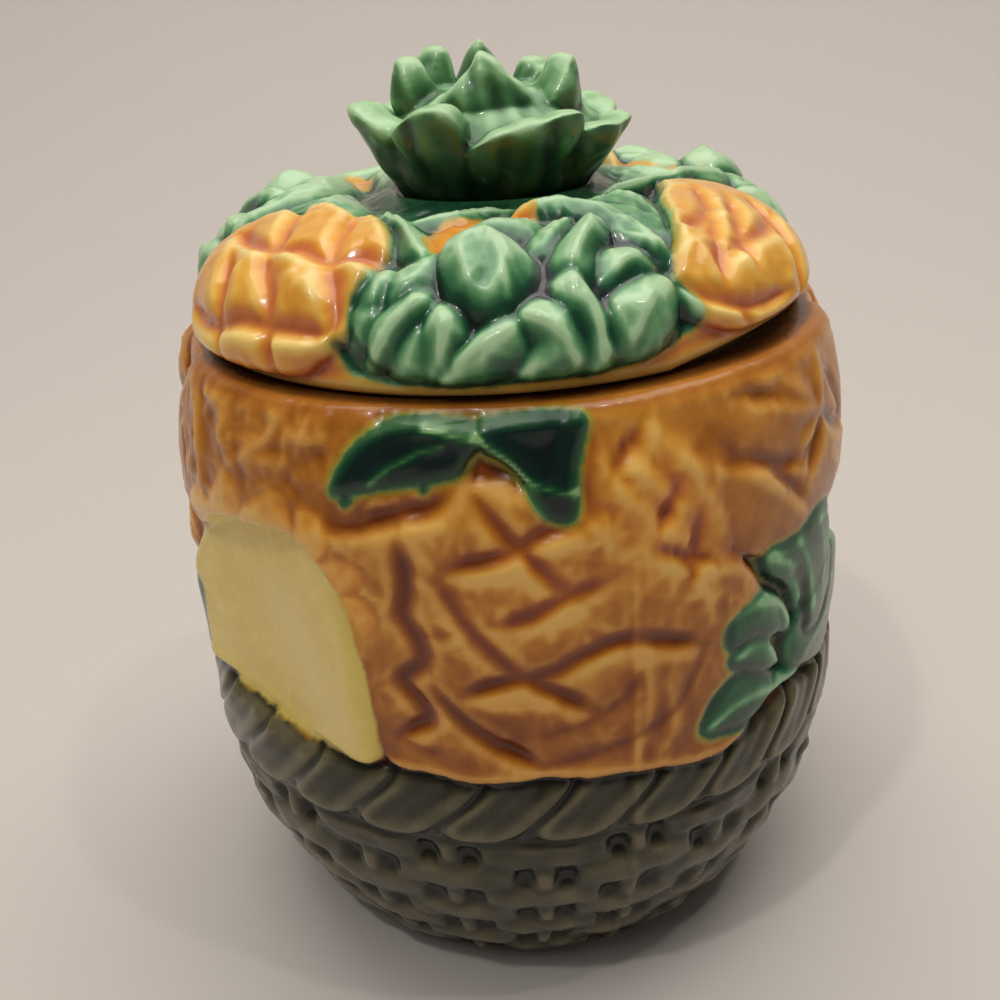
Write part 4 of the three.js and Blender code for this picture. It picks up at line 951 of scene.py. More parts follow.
def build_lid(sizes):
    """Turns the lid, moves its dome by the relief, arches its edge and glazes it."""
    bottom = (sizes.rim_height + sizes.lid_gap) * 1000
    seat = sizes.knob_seat_height * 1000
    columns = sizes.lid_columns
    dome, tangent, length = template_curve([(r, bottom + up) for r, up in DOME], sizes.lid_rows)
    ups = np.linspace(0, length, sizes.lid_rows)
    lower = [(r, bottom + up) for r, up in LID_UNDERSIDE]
    top = [(13.6, seat + 1.1), (13.0, seat + 0.3), (12.2, seat), (6, seat), (0, seat)]
    profile = lower + [tuple(p) for p in dome.tolist()] + top
    lid = turn_on_wheel("glazed_lid", profile, columns)
    row, column = rows_and_columns(lid, profile, columns)
    angles = front_crowded(columns)
    arcs = np.radians(dome[:, 0])

    def patch_at(anchor):
        return Patch(angles, ups, arcs, anchor)

    height, values = lid_relief(patch_at)
    fade = eased(ups, 0.2, 2.4) * (1 - eased(ups, length - 4, length))
    height = blurred(height * fade[:, None], 0.7, 0.6)
    first = len(lower)
    full = np.zeros((len(profile), columns))
    full[first:first + len(dome)] = height
    normal = np.zeros((len(profile), 2))
    normal[first:first + len(dome)] = np.stack([tangent[:, 1], -tangent[:, 0]], 1)
    points = places(lid)
    turn = np.radians(angles[column])
    distance = np.hypot(points[:, 0], points[:, 1])
    from_arch = np.clip(wrapped(angles - ARCH_ANGLE) / ARCH_HALF_ANGLE, -1, 1)
    arch = sizes.arch_rise * 1000 * np.cos(from_arch * math.pi / 2) ** 0.8
    on_edge = (distance > 41.5) & (points[:, 2] > bottom - 0.2)
    lift = np.where(on_edge, arch[column] * (1 - eased(points[:, 2], bottom + 1, bottom + 7)), 0)
    moved = full[row, column]
    out = np.where(distance > 0.01, distance + moved * normal[row, 0], 0)
    up = points[:, 2] + moved * normal[row, 1] + lift
    move_round(lid, out, turn, up)
    keep_depths(lid, (row, column), full, (5.5, 4.6), (1.9, 1.7), 0.35)
    for name, value in values.items():
        spread = np.vstack([np.repeat(value[:1], first, 0), value, np.repeat(value[-1:], len(top), 0)])
        keep_values(lid, name, spread[row, column])
    keep_values(lid, "inner", (row < first - 2).astype(float))
    lid.data.materials.append(lid_glaze(bpy.context.scene.glaze_finish))
    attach(lid, "lid")
    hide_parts("lid")


# Crown knob

# A leaf of the crown: its upper edge from left to right as [angle, radius, height], its thickness
# there, and the angles of the upright creases on its outer face
CUP_LEAVES = [
    ([(-118, 16.6, 118.6), (-104, 18.6, 121), (-88, 19.6, 121.8), (-72, 19, 121.4), (-58, 17.4, 119.4),
      (-50, 15.6, 117.4)], 4.6, (-84,)),
    ([(-58, 16, 117), (-46, 18, 119.6), (-34, 18.7, 121.6), (-22, 18.6, 122.2), (-14, 17.8, 120.4),
      (-8, 16.4, 117.4)], 4.8, (-36,)),
    ([(-16, 17, 116.8), (-5, 18.2, 118.2), (8, 18.7, 119.2), (24, 19, 120.3), (38, 19.4, 121),
      (48, 18.2, 118.8)], 4.4, (5, 26)),
    ([(40, 16.6, 117.4), (52, 18.6, 118.8), (64, 19.6, 118.4), (80, 19.4, 118.8), (96, 16.8, 116.8)],
     4.2, (66,)),
    ([(86, 16.8, 117.2), (104, 18.6, 119.6), (122, 18.8, 120.6), (140, 18.2, 119.8), (154, 16.6, 117.2)],
     4.6, (118,)),
    ([(142, 16.6, 117.2), (160, 18.2, 119.8), (178, 18.6, 120.8), (196, 18, 120), (210, 16.6, 117.2)],
     4.6, (180,)),
    ([(200, 16.8, 117.4), (216, 18.6, 120.2), (232, 19, 121), (244, 18.2, 119.6), (254, 16.4, 117.2)],
     4.6, (228,)),
]
TOOTH_LEAVES = [
    ([(-42, 11.4, 120.6), (-34, 11.4, 122.6), (-20, 10.6, 125.2), (-6, 9.4, 127.7), (10, 10, 126),
      (28, 11.2, 123.2), (40, 11.6, 120.8)], 3.0, ()),
    ([(-106, 13, 120), (-94, 13.2, 124), (-84, 12.8, 126.8), (-74, 12.4, 127), (-64, 12.2, 124.2),
      (-56, 11.8, 120)], 3.4, ()),
    ([(36, 12, 120), (48, 12.6, 123), (60, 12.6, 126), (70, 12.4, 126.3), (82, 12.6, 124),
      (94, 12.8, 120)], 3.6, ()),
    ([(92, 12.4, 120), (110, 12, 123.6), (124, 11.4, 125.4), (142, 11, 125.8), (156, 11.4, 123),
      (168, 11.6, 120)], 3.8, ()),
    ([(158, 11.4, 120), (170, 11, 124.6), (182, 10.4, 128.1), (194, 10.2, 127.8), (206, 11, 124),
      (216, 11.4, 120)], 3.6, ()),
    ([(206, 11.4, 120), (220, 11, 124.8), (232, 10.6, 127.9), (244, 10.8, 127.4), (254, 11.4, 124),
      (264, 12, 120)], 3.6, ()),
]
CUP_FOOT = (12.4, 108.5)
TOOTH_FOOT = (10.2, 114.5)
KNOB_GAP = 0.0003                 # between the lid and its knob, in metres
# Solid middle of the crown above its flat base, [radius, height]
CROWN_CORE = [
    (12.8, 110), (14.4, 113), (15.6, 116.2), (14.8, 118), (12.6, 119.8), (10.4, 121.6), (8.4, 122.6),
    (5, 122.8), (0, 122.8),
]


def crown_leaf(name, top, thick, creases, foot, bulge, spread):
    """One thick leaf, drawn out of a ball: its poles become the leaf's two ends."""
    bpy.ops.object.select_all(action="DESELECT")
    bpy.ops.mesh.primitive_uv_sphere_add(segments=44, ring_count=40, radius=0.001)
    leaf = bpy.context.object
    leaf.name = name
    points = places(leaf)
    share = np.arccos(np.clip(points[:, 2], -1, 1)) / math.pi
    turn = np.degrees(np.arctan2(points[:, 1], points[:, 0])) % 360
    line = smooth_line(top, steps=8)
    run = np.linspace(0, 1, len(line))
    angle, radius, height = (np.interp(share, run, line[:, k]) for k in range(3))
    out, up = radius - foot[0], height - foot[1]
    # Section round the leaf: up the outer face, over the blunt edge, down the inner face
    stops = np.array([0, 55, 105, 135, 165, 200, 250, 310, 360.0])
    across = [0 * out, 0.42 * out, 0.9 * out, out, out - 0.5 * thick, out - thick,
              0.42 * out - (0.5 + 0.5 * spread) * thick, 0 * out - spread * thick, 0 * out]
    upward = [0 * up, 0.45 * up, 0.84 * up, up - 0.4, up + 0.1, up - 0.2, 0.55 * up, 0.6 + 0 * up, 0 * up]
    slot = np.clip(np.searchsorted(stops, turn, side="right") - 1, 0, len(stops) - 2)
    mix = (turn - stops[slot]) / (stops[slot + 1] - stops[slot])
    pick = np.arange(len(points))
    across, upward = np.array(across), np.array(upward)
    side = between(across[slot, pick], across[slot + 1, pick], mix)
    rise = between(upward[slot, pick], upward[slot + 1, pick], mix)
    end = np.sqrt(np.clip(1 - np.abs(2 * share - 1) ** 5, 0, 1))
    side = between(0.5 * out - 0.5 * thick, side, end)
    rise = between(0.55 * up, rise, end)
    outer = eased(turn, 5, 40) * (1 - eased(turn, 110, 150))
    side = side + bulge * np.sin(math.pi * np.clip(turn / 125, 0, 1)) * (1 - np.abs(2 * share - 1) ** 1.3)
    for crease in creases:
        side = side - 0.6 * outer * dip(angle - crease, 4.0)
    reach = foot[0] + side - 0.9 * np.abs(2 * share - 1) ** 3 * outer
    move_round(leaf, reach, np.radians(angle), foot[1] + rise)
    return leaf


def softness(points, edges, rounds):
    """Each point's place after that many rounds of averaging with its neighbours."""
    soft = points.copy()
    first, second = edges[:, 0], edges[:, 1]
    count = np.bincount(edges.ravel(), minlength=len(points))[:, None]

    def neighbour_sum(k):
        ahead = np.bincount(first, soft[second, k], len(points))
        return ahead + np.bincount(second, soft[first, k], len(points))

    for _ in range(rounds):
        total = np.stack([neighbour_sum(k) for k in range(3)], 1)
        soft = 0.5 * soft + 0.5 * total / np.maximum(count, 1)
    return soft


def fuse_leaves(parts, fineness):
    """Joins core and leaves, melts them into one skin and smooths it."""
    bpy.ops.object.select_all(action="DESELECT")
    for part in parts:
        part.select_set(True)
    bpy.context.view_layer.objects.active = parts[0]
    bpy.ops.object.join()
    knob = bpy.context.object
    knob.name = "glazed_crown_knob"
    knob.data.name = "glazed_crown_knob"
    bpy.ops.object.mode_set(mode="EDIT")
    bpy.ops.mesh.select_all(action="SELECT")
    bpy.ops.mesh.normals_make_consistent(inside=False)
    bpy.ops.object.mode_set(mode="OBJECT")
    bpy.ops.object.modifier_add(type="REMESH")
    knob.modifiers[-1].mode = "VOXEL"
    knob.modifiers[-1].voxel_size = fineness
    apply_last_modifier(knob)
    bpy.ops.object.modifier_add(type="SMOOTH")
    knob.modifiers[-1].factor = 0.5
    knob.modifiers[-1].iterations = 9
    apply_last_modifier(knob)
    bpy.ops.object.shade_smooth()
    return knob


def build_knob(sizes):
    """Builds the crown from its core and leaves, wavers its skin and glazes it."""
    base = (sizes.knob_seat_height + KNOB_GAP) * 1000
    flat_base = [(0, base), (11.6, base), (12.3, base + 0.3)]
    parts = [turn_on_wheel("crown_core", flat_base + CROWN_CORE, 60)]
    for k, (top, thick, creases) in enumerate(CUP_LEAVES):
        parts.append(crown_leaf(f"cup_leaf_{k}", top, thick, creases, CUP_FOOT, 0.9, 1.0))
    for k, (top, thick, creases) in enumerate(TOOTH_LEAVES):
        parts.append(crown_leaf(f"tooth_leaf_{k}", top, thick, creases, TOOTH_FOOT, 1.7, 2.0))
    knob = fuse_leaves(parts, sizes.knob_fineness)
    points = places(knob)
    edges = np.zeros(len(knob.data.edges) * 2, np.int64)
    knob.data.edges.foreach_get("vertices", edges)
    edges = edges.reshape(-1, 2)
    normals = np.zeros(len(points) * 3)
    knob.data.vertices.foreach_get("normal", normals)
    normals = normals.reshape(-1, 3)
    up = points[:, 2]
    around = np.arctan2(points[:, 0], -points[:, 1])
    waver = 0.5 * np.sin(5 * around + 0.9 * up)
    waver = waver + 0.3 * np.sin(11 * around - 0.7 * up + 1.3)
    waver = waver + 0.25 * np.sin(24 * around + 0.4 * up + 4)
    waver = waver * eased(up, 109, 111) * eased(np.hypot(points[:, 0], points[:, 1]), 3, 9)
    points = points + normals * (0.35 * waver)[:, None]
    move_to(knob, points)
    for name, rounds in (("hollow", 60), ("crease", 12)):
        moved = softness(points, edges, rounds) - points
        keep_values(knob, name, (moved * normals).sum(1))
    # Upward faces high on the crown, which the glaze paints pale as a highlight of light from above
    keep_values(knob, "top", eased(normals[:, 2], 0.15, 0.75) * eased(points[:, 2], 112, 117))
    knob.data.materials.append(knob_glaze(bpy.context.scene.glaze_finish))
    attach(knob, "lid")
    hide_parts("crown_knob")


# Glazes

def tint(red, green, blue):
    """A colour as seen on a screen, 0 to 255, made linear."""
    seen = [c / 255 for c in (red, green, blue)]
    return tuple(c / 12.92 if c < 0.04 else ((c + 0.055) / 1.055) ** 2.4 for c in seen) + (1.0,)


class Term:
    """One output socket of a material's nodes, written as a term in sums."""

    def __init__(self, tree, socket=None):
        self.tree = tree
        self.socket = socket

    def make(self, kind, settings, inputs, output=0):
        """Adds a node: its settings first, then the values or links of its sockets."""
        node = self.tree.nodes.new(kind)
        for name, value in settings.items():
            if name == "stops":
                ramp = node.color_ramp
                while len(ramp.elements) < len(value):
                    ramp.elements.new(1.0)
                for element, (position, *colour) in zip(ramp.elements, value):
                    element.position = position
                    element.color = tint(*colour)
            else:
                setattr(node, name, value)
        for name, value in inputs.items():
            if isinstance(value, Term):
                self.tree.links.new(value.socket, node.inputs[name])
            else:
                node.inputs[name].default_value = value
        return Term(self.tree, node.outputs[output])

    def sum(self, operation, first, second=0.0):
        return self.make("ShaderNodeMath", {"operation": operation}, {0: first, 1: second})

    def __add__(self, other):
        return self.sum("ADD", self, other)

    __radd__ = __add__

    def __sub__(self, other):
        return self.sum("SUBTRACT", self, other)

    def __rsub__(self, other):
        return self.sum("SUBTRACT", other, self)

    def __mul__(self, other):
        return self.sum("MULTIPLY", self, other)

    __rmul__ = __mul__

    def span(self, low, high):
        """0 where this is low, 1 where it is high, held between."""
        return self.make("ShaderNodeMapRange", {}, {"Value": self, "From Min": low, "From Max": high})

    def blend(self, first, second):
        """Colour that is the first where this is 0 and the second where it is 1."""
        return self.make("ShaderNodeMix", {"data_type": "RGBA"}, {0: self, 6: first, 7: second}, 2)

    def ramp(self, *stops):
        """Colour that runs through the stops, each a position and a red, green and blue as for tint."""
        return self.make("ShaderNodeValToRGB", {"stops": stops}, {0: self})

    def noise(self, place, scale, detail):
        return self.make("ShaderNodeTexNoise", {}, {"Vector": place, "Scale": scale, "Detail": detail})

    def value(self, name):
        return self.make("ShaderNodeAttribute", {"attribute_name": name}, {}, "Fac")

    def end_in(self, kind):
        """Links this shader to a new output node."""
        output = self.tree.nodes.new(kind)
        self.tree.links.new(self.socket, output.inputs["Surface"])


def cleared(owner):
    """Turns on the nodes of a material or world and clears them. Returns a term to start from."""
    owner.use_nodes = True
    owner.node_tree.nodes.clear()
    return Term(owner.node_tree)


class Glaze:
    """A material in the making: where the surface is, its kept values, and its shader."""

    def __init__(self, name):
        self.material = bpy.data.materials.new(name)
        self.term = cleared(self.material)
        self.place = self.term.make("ShaderNodeTexCoord", {}, {}, "Object")
        self.hollow = self.term.value("hollow")
        self.crease = self.term.value("crease")
        self.mottle = self.term.noise(self.place, 170, 3)
        self.grain = self.term.noise(self.place, 900, 2)
        # Depth of glaze: 0 where it has run thin on ridges, 1 where it has pooled; the lean term darkens
        # overhangs, partly for glaze gathered there and partly as painted shade
        drift = (self.mottle - 0.5) * 0.3 + (self.grain - 0.5) * 0.12 + 0.4
        depth = self.hollow * 0.39 + self.crease * 0.46 + self.term.value("lean") * 0.3 + drift
        self.pool = depth.span(0, 1)
        self.ridge = (self.crease * -1.0).span(0.03, 0.22)

    def zone(self, name, softness=0.3):
        """1 well inside a zone and 0 outside, with a slightly wandering edge."""
        wander = (self.grain - 0.5) * 0.7 + (self.mottle - 0.5) * 1.2
        return (self.term.value(name) + wander).span(-softness, softness)

    def finish(self, colour, roughness, wave, coat=0.3):
        """Glossy clear glaze over the colour, gently waved."""
        ripple = self.term.noise(self.place, 420, 2) * 0.6 + self.grain * 0.4
        normal = self.term.make("ShaderNodeBump", {}, {
            "Strength": wave, "Distance": 0.0004, "Height": ripple,
        })
        shader = self.term.make("ShaderNodeBsdfPrincipled", {}, {
            "Base Color": colour, "Roughness": roughness, "Coat Weight": coat, "Coat Roughness": 0.1,
            "Normal": normal, "Specular IOR Level": 0.3, "IOR": 1.5,
        })
        shader.end_in("ShaderNodeOutputMaterial")
        return self.material


def jar_glaze(settings):
    """Amber fruits, green leaves, pale slice and olive basket, with a cream inside and a bare foot."""
    glaze = Glaze("amber_jar_glaze")
    pool = glaze.pool
    value = glaze.term.value
    up = glaze.term.make("ShaderNodeSeparateXYZ", {}, {0: glaze.place}, 2)
    # Painted shade: the heap's amber darkens below 70 mm, fully below 46 mm, where less light from above
    # reaches the wall
    low = (1.0 - up.span(0.046, 0.07)) * 0.1
    amber = (pool + low).ramp((0.0, 234, 176, 84), (0.25, 206, 136, 46), (0.45, 170, 98, 24),
                              (0.68, 130, 60, 14), (1.0, 86, 32, 8))
    hot = pool.ramp((0.0, 255, 216, 122), (0.3, 246, 176, 70), (0.5, 222, 136, 48),
                    (0.72, 180, 92, 46), (1.0, 136, 58, 34))
    dull = pool.ramp((0.0, 236, 180, 96), (0.3, 206, 136, 54), (0.5, 176, 106, 34),
                     (0.72, 140, 74, 26), (1.0, 100, 46, 18))
    skin = value("hot").span(0, 1).blend(amber, hot)
    skin = value("dull").span(0, 1).blend(skin, dull)
    # Ridges are tinted pale where the glaze runs thin, more strongly in the hot zone, where the extra
    # paleness is a painted highlight
    skin = (glaze.ridge * (value("hot").span(0, 1) * 0.35 + 0.4)).blend(skin, tint(240, 184, 98))
    fibre = (value("fibre") * 0.045 + (glaze.mottle - 0.5) * 0.9 + 0.5).span(0, 1)
    flesh = fibre.ramp((0.0, 230, 194, 92), (0.5, 243, 212, 112), (1.0, 252, 229, 136))
    flesh = (value("core") * 0.6).span(0, 1).blend(flesh, tint(248, 221, 156))
    rind = (1.0 - value("slice").span(0, 3.2)) * 0.65
    flesh = rind.blend(flesh, tint(222, 200, 92))
    colour = glaze.zone("slice", 0.35).blend(skin, flesh)
    wicker = pool.ramp((0.0, 112, 103, 76), (0.26, 76, 71, 48), (0.44, 49, 47, 31), (0.68, 29, 28, 18),
                       (1.0, 13, 13, 9))
    colour = glaze.zone("basket", 0.25).blend(colour, wicker)
    leaf_value = value("leaf")
    halo = leaf_value.span(-0.9, 0.2) * (1.0 - glaze.zone("basket", 0.4)) * 0.8
    colour = halo.blend(colour, tint(190, 178, 60))
    edge = leaf_value.span(0.0, 1.8)
    light = (pool * 0.75 + edge * 0.25 - value("rib") * 0.22 - glaze.ridge * 0.2 + 0.08).span(0, 1)
    green = light.ramp((0.0, 150, 198, 148), (0.2, 84, 150, 100), (0.42, 36, 98, 62), (0.7, 20, 60, 42),
                       (1.0, 8, 28, 24))
    dark = (edge * 0.8 + (pool - 0.4) * 0.5 - value("rib") * 0.55 + 0.1).span(0, 1)
    teal = dark.ramp((0.0, 150, 190, 130), (0.2, 74, 124, 72), (0.45, 24, 72, 44), (0.72, 12, 42, 34),
                     (1.0, 8, 22, 24))
    green = value("rim_leaf").span(-0.2, 0.2).blend(green, teal)
    colour = glaze.zone("leaf").blend(colour, green)
    # Painted shadow of the gap under the lid, over the rim's dark brown edge, on every surface of the jar
    # above 93.05 mm
    gap_shadow_and_brown_rim = up.span(0.09305, 0.0932) * 0.85
    colour = gap_shadow_and_brown_rim.blend(colour, tint(66, 34, 15))
    colour = value("inner").blend(colour, tint(226, 212, 182))
    colour = value("bare").blend(colour, tint(226, 216, 198))
    rough = value("bare") * 0.5 + 0.27 + (glaze.mottle - 0.5) * 0.12
    return glaze.finish(colour, rough, settings.jar_wave, (1.0 - value("bare")) * 0.22)


def lid_glaze(settings):
    """Orange fruits among green leaves, grey-violet where the glazes have met, and a cream inside."""
    glaze = Glaze("orange_lid_glaze")
    pool = glaze.pool
    value = glaze.term.value
    orange = (pool + value("low") * 0.14).ramp(
        (0.0, 255, 220, 130), (0.25, 246, 186, 78), (0.45, 234, 158, 54), (0.66, 216, 126, 68),
        (1.0, 176, 84, 50))
    orange = (glaze.ridge * 0.3).blend(orange, tint(255, 220, 134))
    # foot darkens the green round the knob: painted shadow of the knob over dark green glaze
    light = pool * 1.2 - value("rib") * 0.08 - glaze.ridge * 0.1 + value("foot") * 0.35 - 0.15
    green = light.span(0, 1).ramp((0.0, 184, 220, 172), (0.2, 128, 180, 128), (0.42, 74, 132, 86),
                                  (0.66, 30, 82, 54), (1.0, 12, 34, 28))
    grape = pool.ramp((0.0, 136, 164, 140), (0.35, 104, 108, 106), (0.65, 70, 64, 74), (1.0, 34, 30, 38))
    green = (value("grape") * (glaze.mottle * 1.6 - 0.1).span(0, 1)).blend(green, grape)
    orange = (value("brim") * 0.5).blend(orange, tint(206, 180, 96))
    halo = value("leaf").span(-1.3, 0.2) * 0.7
    colour = halo.blend(orange, tint(176, 166, 58))
    colour = glaze.zone("leaf").blend(colour, green)
    colour = value("inner").blend(colour, tint(226, 212, 182))
    rough = 0.26 + (glaze.mottle - 0.5) * 0.1
    return glaze.finish(colour, rough, settings.lid_wave, 0.4)


def knob_glaze(settings):
    """Green, olive in places: painted pale as a highlight on the leaves' upward faces and dark as shade
    towards the foot.
    """
    glaze = Glaze("green_crown_glaze")
    value = glaze.term.value
    up = glaze.term.make("ShaderNodeSeparateXYZ", {}, {0: glaze.place}, 2)
    # Painted shade: faces not turned up darken from 120.5 mm down to 111.5 mm, away from light from above
    deep = (1.0 - up.span(0.1115, 0.1205)) * (1.0 - value("top")) * 0.3
    pool = glaze.hollow * 0.45 + glaze.crease * 1.5 + (glaze.mottle - 0.5) * 0.45 + deep
    # Upward faces are made paler here, a painted highlight of light from above
    pool = (pool - value("top") * 0.4 + 0.61).span(0, 1)
    green = pool.ramp((0.0, 182, 220, 168), (0.22, 132, 180, 126), (0.42, 78, 128, 80), (0.68, 40, 78, 46),
                      (1.0, 12, 32, 22))
    olive = glaze.term.noise(glaze.place, 260, 2).span(0.52, 0.68) * (1.0 - value("top")) * 0.45
    colour = olive.blend(green, tint(86, 92, 36))
    # Painted shadow at the crown's foot, where it meets the lid, over dark green glaze
    shade = (1.0 - up.span(0.1085, 0.1145)) * 0.7
    colour = shade.blend(colour, tint(16, 36, 26))
    return glaze.finish(colour, 0.34, settings.knob_wave)


# Stage

def aim(thing, place, target):
    """Stands a lamp at a place and points it at a target."""
    sight = (Vector(target) - Vector(place)).to_track_quat("-Z", "Y")
    thing.matrix_world = Matrix.LocRotScale(Vector(place), sight, None)


def add_lamp(name, place, target, size, power, colour):
    bpy.ops.object.light_add(type="AREA")
    lamp = bpy.context.object
    lamp.name = name
    lamp.data.shape = "DISK"
    lamp.data.size = size
    lamp.data.energy = power
    lamp.data.color = colour
    aim(lamp, place, target)


def backdrop_material(colour):
    """Plain matt surface, a little cloudy."""
    material = bpy.data.materials.new("pale_backdrop")
    term = cleared(material)
    mottle = term.noise(term.make("ShaderNodeTexCoord", {}, {}, "Object"), 3, 2)
    darker = tuple(c * 0.94 for c in colour) + (1,)
    shade = (mottle * 0.3 + 0.35).span(0, 1).blend(darker, tuple(colour) + (1,))
    shader = term.make("ShaderNodeBsdfPrincipled", {}, {
        "Base Color": shade, "Roughness": 0.7, "Specular IOR Level": 0.2,
    })
    shader.end_in("ShaderNodeOutputMaterial")
    return material


def lay_floor(colour):
    """Floor whose far edge is drawn up into a backdrop, with a wide round bend between."""
    start_piece("pale_floor")
    bpy.ops.mesh.primitive_plane_add(size=1)
    floor = bpy.context.object
    floor.name = "pale_floor"
    bpy.ops.object.mode_set(mode="EDIT")
    bpy.ops.mesh.select_all(action="SELECT")
    bpy.ops.transform.resize(value=(4, 1.9, 1))
    bpy.ops.transform.translate(value=(0, -0.45, 0))
    bpy.ops.object.mode_set(mode="OBJECT")
    for edge in floor.data.edges:
        edge.select = all(floor.data.vertices[v].co.y > 0.4 for v in edge.vertices)
    for vertex in floor.data.vertices:
        vertex.select = vertex.co.y > 0.4
    for face in floor.data.polygons:
        face.select = False
    bpy.ops.object.mode_set(mode="EDIT")
    bpy.ops.mesh.select_mode(type="EDGE")
    bpy.ops.mesh.extrude_region_move(TRANSFORM_OT_translate={"value": (0, 0, 1.8)})
    bpy.ops.mesh.select_all(action="SELECT")
    bpy.ops.object.mode_set(mode="OBJECT")
    bpy.ops.object.modifier_add(type="BEVEL")
    floor.modifiers[-1].width = 0.3
    floor.modifiers[-1].segments = 12
    apply_last_modifier(floor)
    bpy.ops.object.shade_smooth()
    floor.data.materials.append(backdrop_material(colour))


def light_room(strength, colour):
    """Even light all round, which the camera sees in the colour of the backdrop."""
    world = bpy.data.worlds.new("soft_room")
    seen = cleared(world).make("ShaderNodeLightPath", {}, {}, "Is Camera Ray")
    room = seen.blend((0.86, 0.84, 0.81, 1), tuple(colour) + (1,))
    seen_strength = 0.8
    background = seen.make("ShaderNodeBackground", {}, {
        "Color": room, "Strength": seen * (seen_strength - strength) + strength,
    })
    background.end_in("ShaderNodeOutputWorld")
    bpy.context.scene.world = world


def set_camera(lens):
    """Camera as it stood for the photograph, from its own right, upward and forward directions."""
    bpy.ops.object.camera_add()
    camera = bpy.context.object
    camera.name = "photo_camera"
    right = Vector((0.99816923, -0.0149394, -0.05860897))
    upward = Vector((0.05934717, 0.42883362, 0.90143199))
    forward = Vector((-0.01166665, 0.90325995, -0.42893513))
    turn = Matrix((right, upward, -forward)).transposed().to_4x4()
    turn.translation = Vector((0, -0.159225, 0.136065))
    camera.matrix_world = turn
    camera.data.lens = lens
    camera.data.sensor_width = 36
    camera.data.clip_start = 0.01
    bpy.context.scene.camera = camera


def build_stage(sizes):
    """Lays the floor, hangs the lamps, lights the room and sets the camera."""
    lay_floor(sizes.backdrop_colour)
    overhead, front, sparkle = sizes.overhead_power, sizes.front_power, sizes.sparkle_power
    add_lamp("overhead_lamp", (0.08, 0.3, 1.0), (0, 0, 0.08), 1.3, overhead, (1.0, 0.965, 0.92))
    add_lamp("front_lamp", (-0.25, -0.4, 0.92), (0, 0, 0.07), 0.5, front, (1.0, 0.97, 0.94))
    add_lamp("glint_lamp", (0.3, -0.2, 0.8), (0, 0, 0.1), 0.03, 0.5 * sparkle, (1.0, 0.97, 0.92))
    add_lamp("sparkle_lamp", (-0.25, -0.35, 0.8), (0, 0, 0.08), 0.04, sparkle, (1.0, 0.97, 0.92))
    light_room(sizes.room_light, sizes.backdrop_colour)
    set_camera(sizes.lens)
    bpy.context.scene.view_settings.view_transform = "Standard"


# Settings that a user would change

class JarSizes(bpy.types.PropertyGroup):
    """Sizes of the jar, its lid and its knob."""

    rim_height: FloatProperty(
        name="Rim height", description="Height of the jar's rim", default=0.0932, unit="LENGTH")
    mouth_radius: FloatProperty(
        name="Mouth radius", description="Inner radius at the rim", default=0.0388, unit="LENGTH")
    wall_thickness: FloatProperty(
        name="Wall thickness", description="Thickness of the wall", default=0.005, unit="LENGTH")
    lid_gap: FloatProperty(
        name="Lid gap", description="Gap between rim and lid", default=0.0003, unit="LENGTH")
    arch_rise: FloatProperty(
        name="Arch rise", description="Rise of the arch in the lid's edge", default=0.0018, unit="LENGTH")
    knob_seat_height: FloatProperty(
        name="Knob seat", description="Height at which the knob is stuck on", default=0.1083, unit="LENGTH")
    knob_fineness: FloatProperty(
        name="Knob fineness", description="Size of the finest detail that the knob keeps", default=0.00034,
        unit="LENGTH")
    columns: IntProperty(name="Jar columns", description="Columns of relief round the jar", default=540)
    lid_columns: IntProperty(name="Lid columns", description="Columns of relief round the lid", default=600)
    lid_rows: IntProperty(name="Lid rows", description="Rows of relief up the dome", default=104)


class GlazeFinish(bpy.types.PropertyGroup):
    """How unevenly the glazes lie."""

    jar_wave: FloatProperty(
        name="Jar wave", description="Unevenness of the jar's glaze", default=0.2, subtype="FACTOR")
    lid_wave: FloatProperty(
        name="Lid wave", description="Unevenness of the lid's glaze", default=0.16, subtype="FACTOR")
    knob_wave: FloatProperty(
        name="Knob wave", description="Unevenness of the knob's glaze", default=0.2, subtype="FACTOR")


class StageSizes(bpy.types.PropertyGroup):
    """Camera, lamps and backdrop."""

    lens: FloatProperty(
        name="Lens", description="Focal length in millimetres on a 36 mm sensor", default=39.6)
    overhead_power: FloatProperty(
        name="Overhead lamp", description="Power of the lamp above", default=12.0, unit="POWER")
    front_power: FloatProperty(
        name="Front lamp", description="Power of the lamp in front", default=1.35, unit="POWER")
    sparkle_power: FloatProperty(
        name="Sparkle lamp", description="Power of the small lamp that glints on the glaze", default=0.9,
        unit="POWER")
    room_light: FloatProperty(
        name="Room light", description="Strength of the even light of the room", default=0.12)
    backdrop_colour: FloatVectorProperty(
        name="Backdrop", description="Colour of floor and backdrop", default=(0.66, 0.61, 0.565),
        subtype="COLOR")


# Operators

class JAR_OT_stage(bpy.types.Operator):
    """Sets up the pale floor, the lamps and the camera"""

    bl_idname = "jelly_jar.stage"
    bl_label = "Set the Stage"

    def execute(self, context):
        build_stage(context.scene.jar_stage)
        return {"FINISHED"}


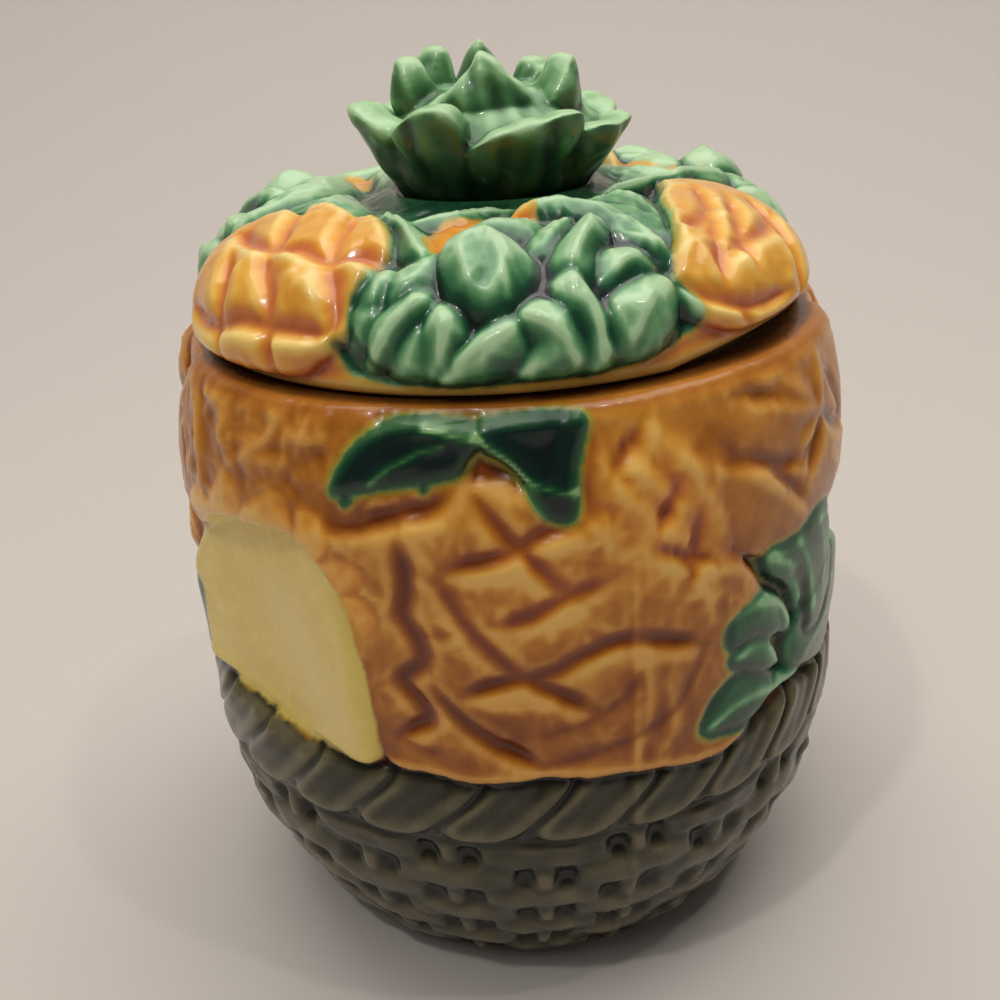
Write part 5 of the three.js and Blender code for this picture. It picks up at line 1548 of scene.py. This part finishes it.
class JAR_OT_body(bpy.types.Operator):
    """Builds the jar with its basket, fruits, slice and leaves"""

    bl_idname = "jelly_jar.body"
    bl_label = "Build the Jar"

    def execute(self, context):
        build_jar(context.scene.jar_sizes)
        return {"FINISHED"}


class JAR_OT_lid(bpy.types.Operator):
    """Builds the domed lid with its fruits and leafy crests"""

    bl_idname = "jelly_jar.lid"
    bl_label = "Build the Lid"

    def execute(self, context):
        build_lid(context.scene.jar_sizes)
        return {"FINISHED"}


class JAR_OT_knob(bpy.types.Operator):
    """Builds the leafy crown that is the lid's knob"""

    bl_idname = "jelly_jar.knob"
    bl_label = "Build the Crown Knob"

    def execute(self, context):
        build_knob(context.scene.jar_sizes)
        return {"FINISHED"}


class JAR_PT_panel(bpy.types.Panel):
    """Lists the jar's sizes and pieces in the 3D view's sidebar"""

    bl_idname = "JAR_PT_panel"
    bl_label = "Jelly Jar"
    bl_space_type = "VIEW_3D"
    bl_region_type = "UI"
    bl_category = "Jelly Jar"

    def draw(self, context):
        for group in (context.scene.jar_sizes, context.scene.glaze_finish, context.scene.jar_stage):
            box = self.layout.box()
            for name in group.__annotations__:
                box.prop(group, name)
        for operator in (JAR_OT_stage, JAR_OT_body, JAR_OT_lid, JAR_OT_knob):
            self.layout.operator(operator.bl_idname)


CLASSES = (
    JarSizes, GlazeFinish, StageSizes, JAR_OT_stage, JAR_OT_body, JAR_OT_lid, JAR_OT_knob, JAR_PT_panel,
)


def register():
    for item in CLASSES:
        bpy.utils.register_class(item)
    bpy.types.Scene.jar_sizes = PointerProperty(type=JarSizes)
    bpy.types.Scene.glaze_finish = PointerProperty(type=GlazeFinish)
    bpy.types.Scene.jar_stage = PointerProperty(type=StageSizes)


def unregister():
    del bpy.types.Scene.jar_stage
    del bpy.types.Scene.glaze_finish
    del bpy.types.Scene.jar_sizes
    for item in reversed(CLASSES):
        bpy.utils.unregister_class(item)


def main():
    register()
    bpy.ops.jelly_jar.stage()
    bpy.ops.jelly_jar.body()
    bpy.ops.jelly_jar.lid()
    bpy.ops.jelly_jar.knob()
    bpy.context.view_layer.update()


if __name__ == "__main__":
    main()
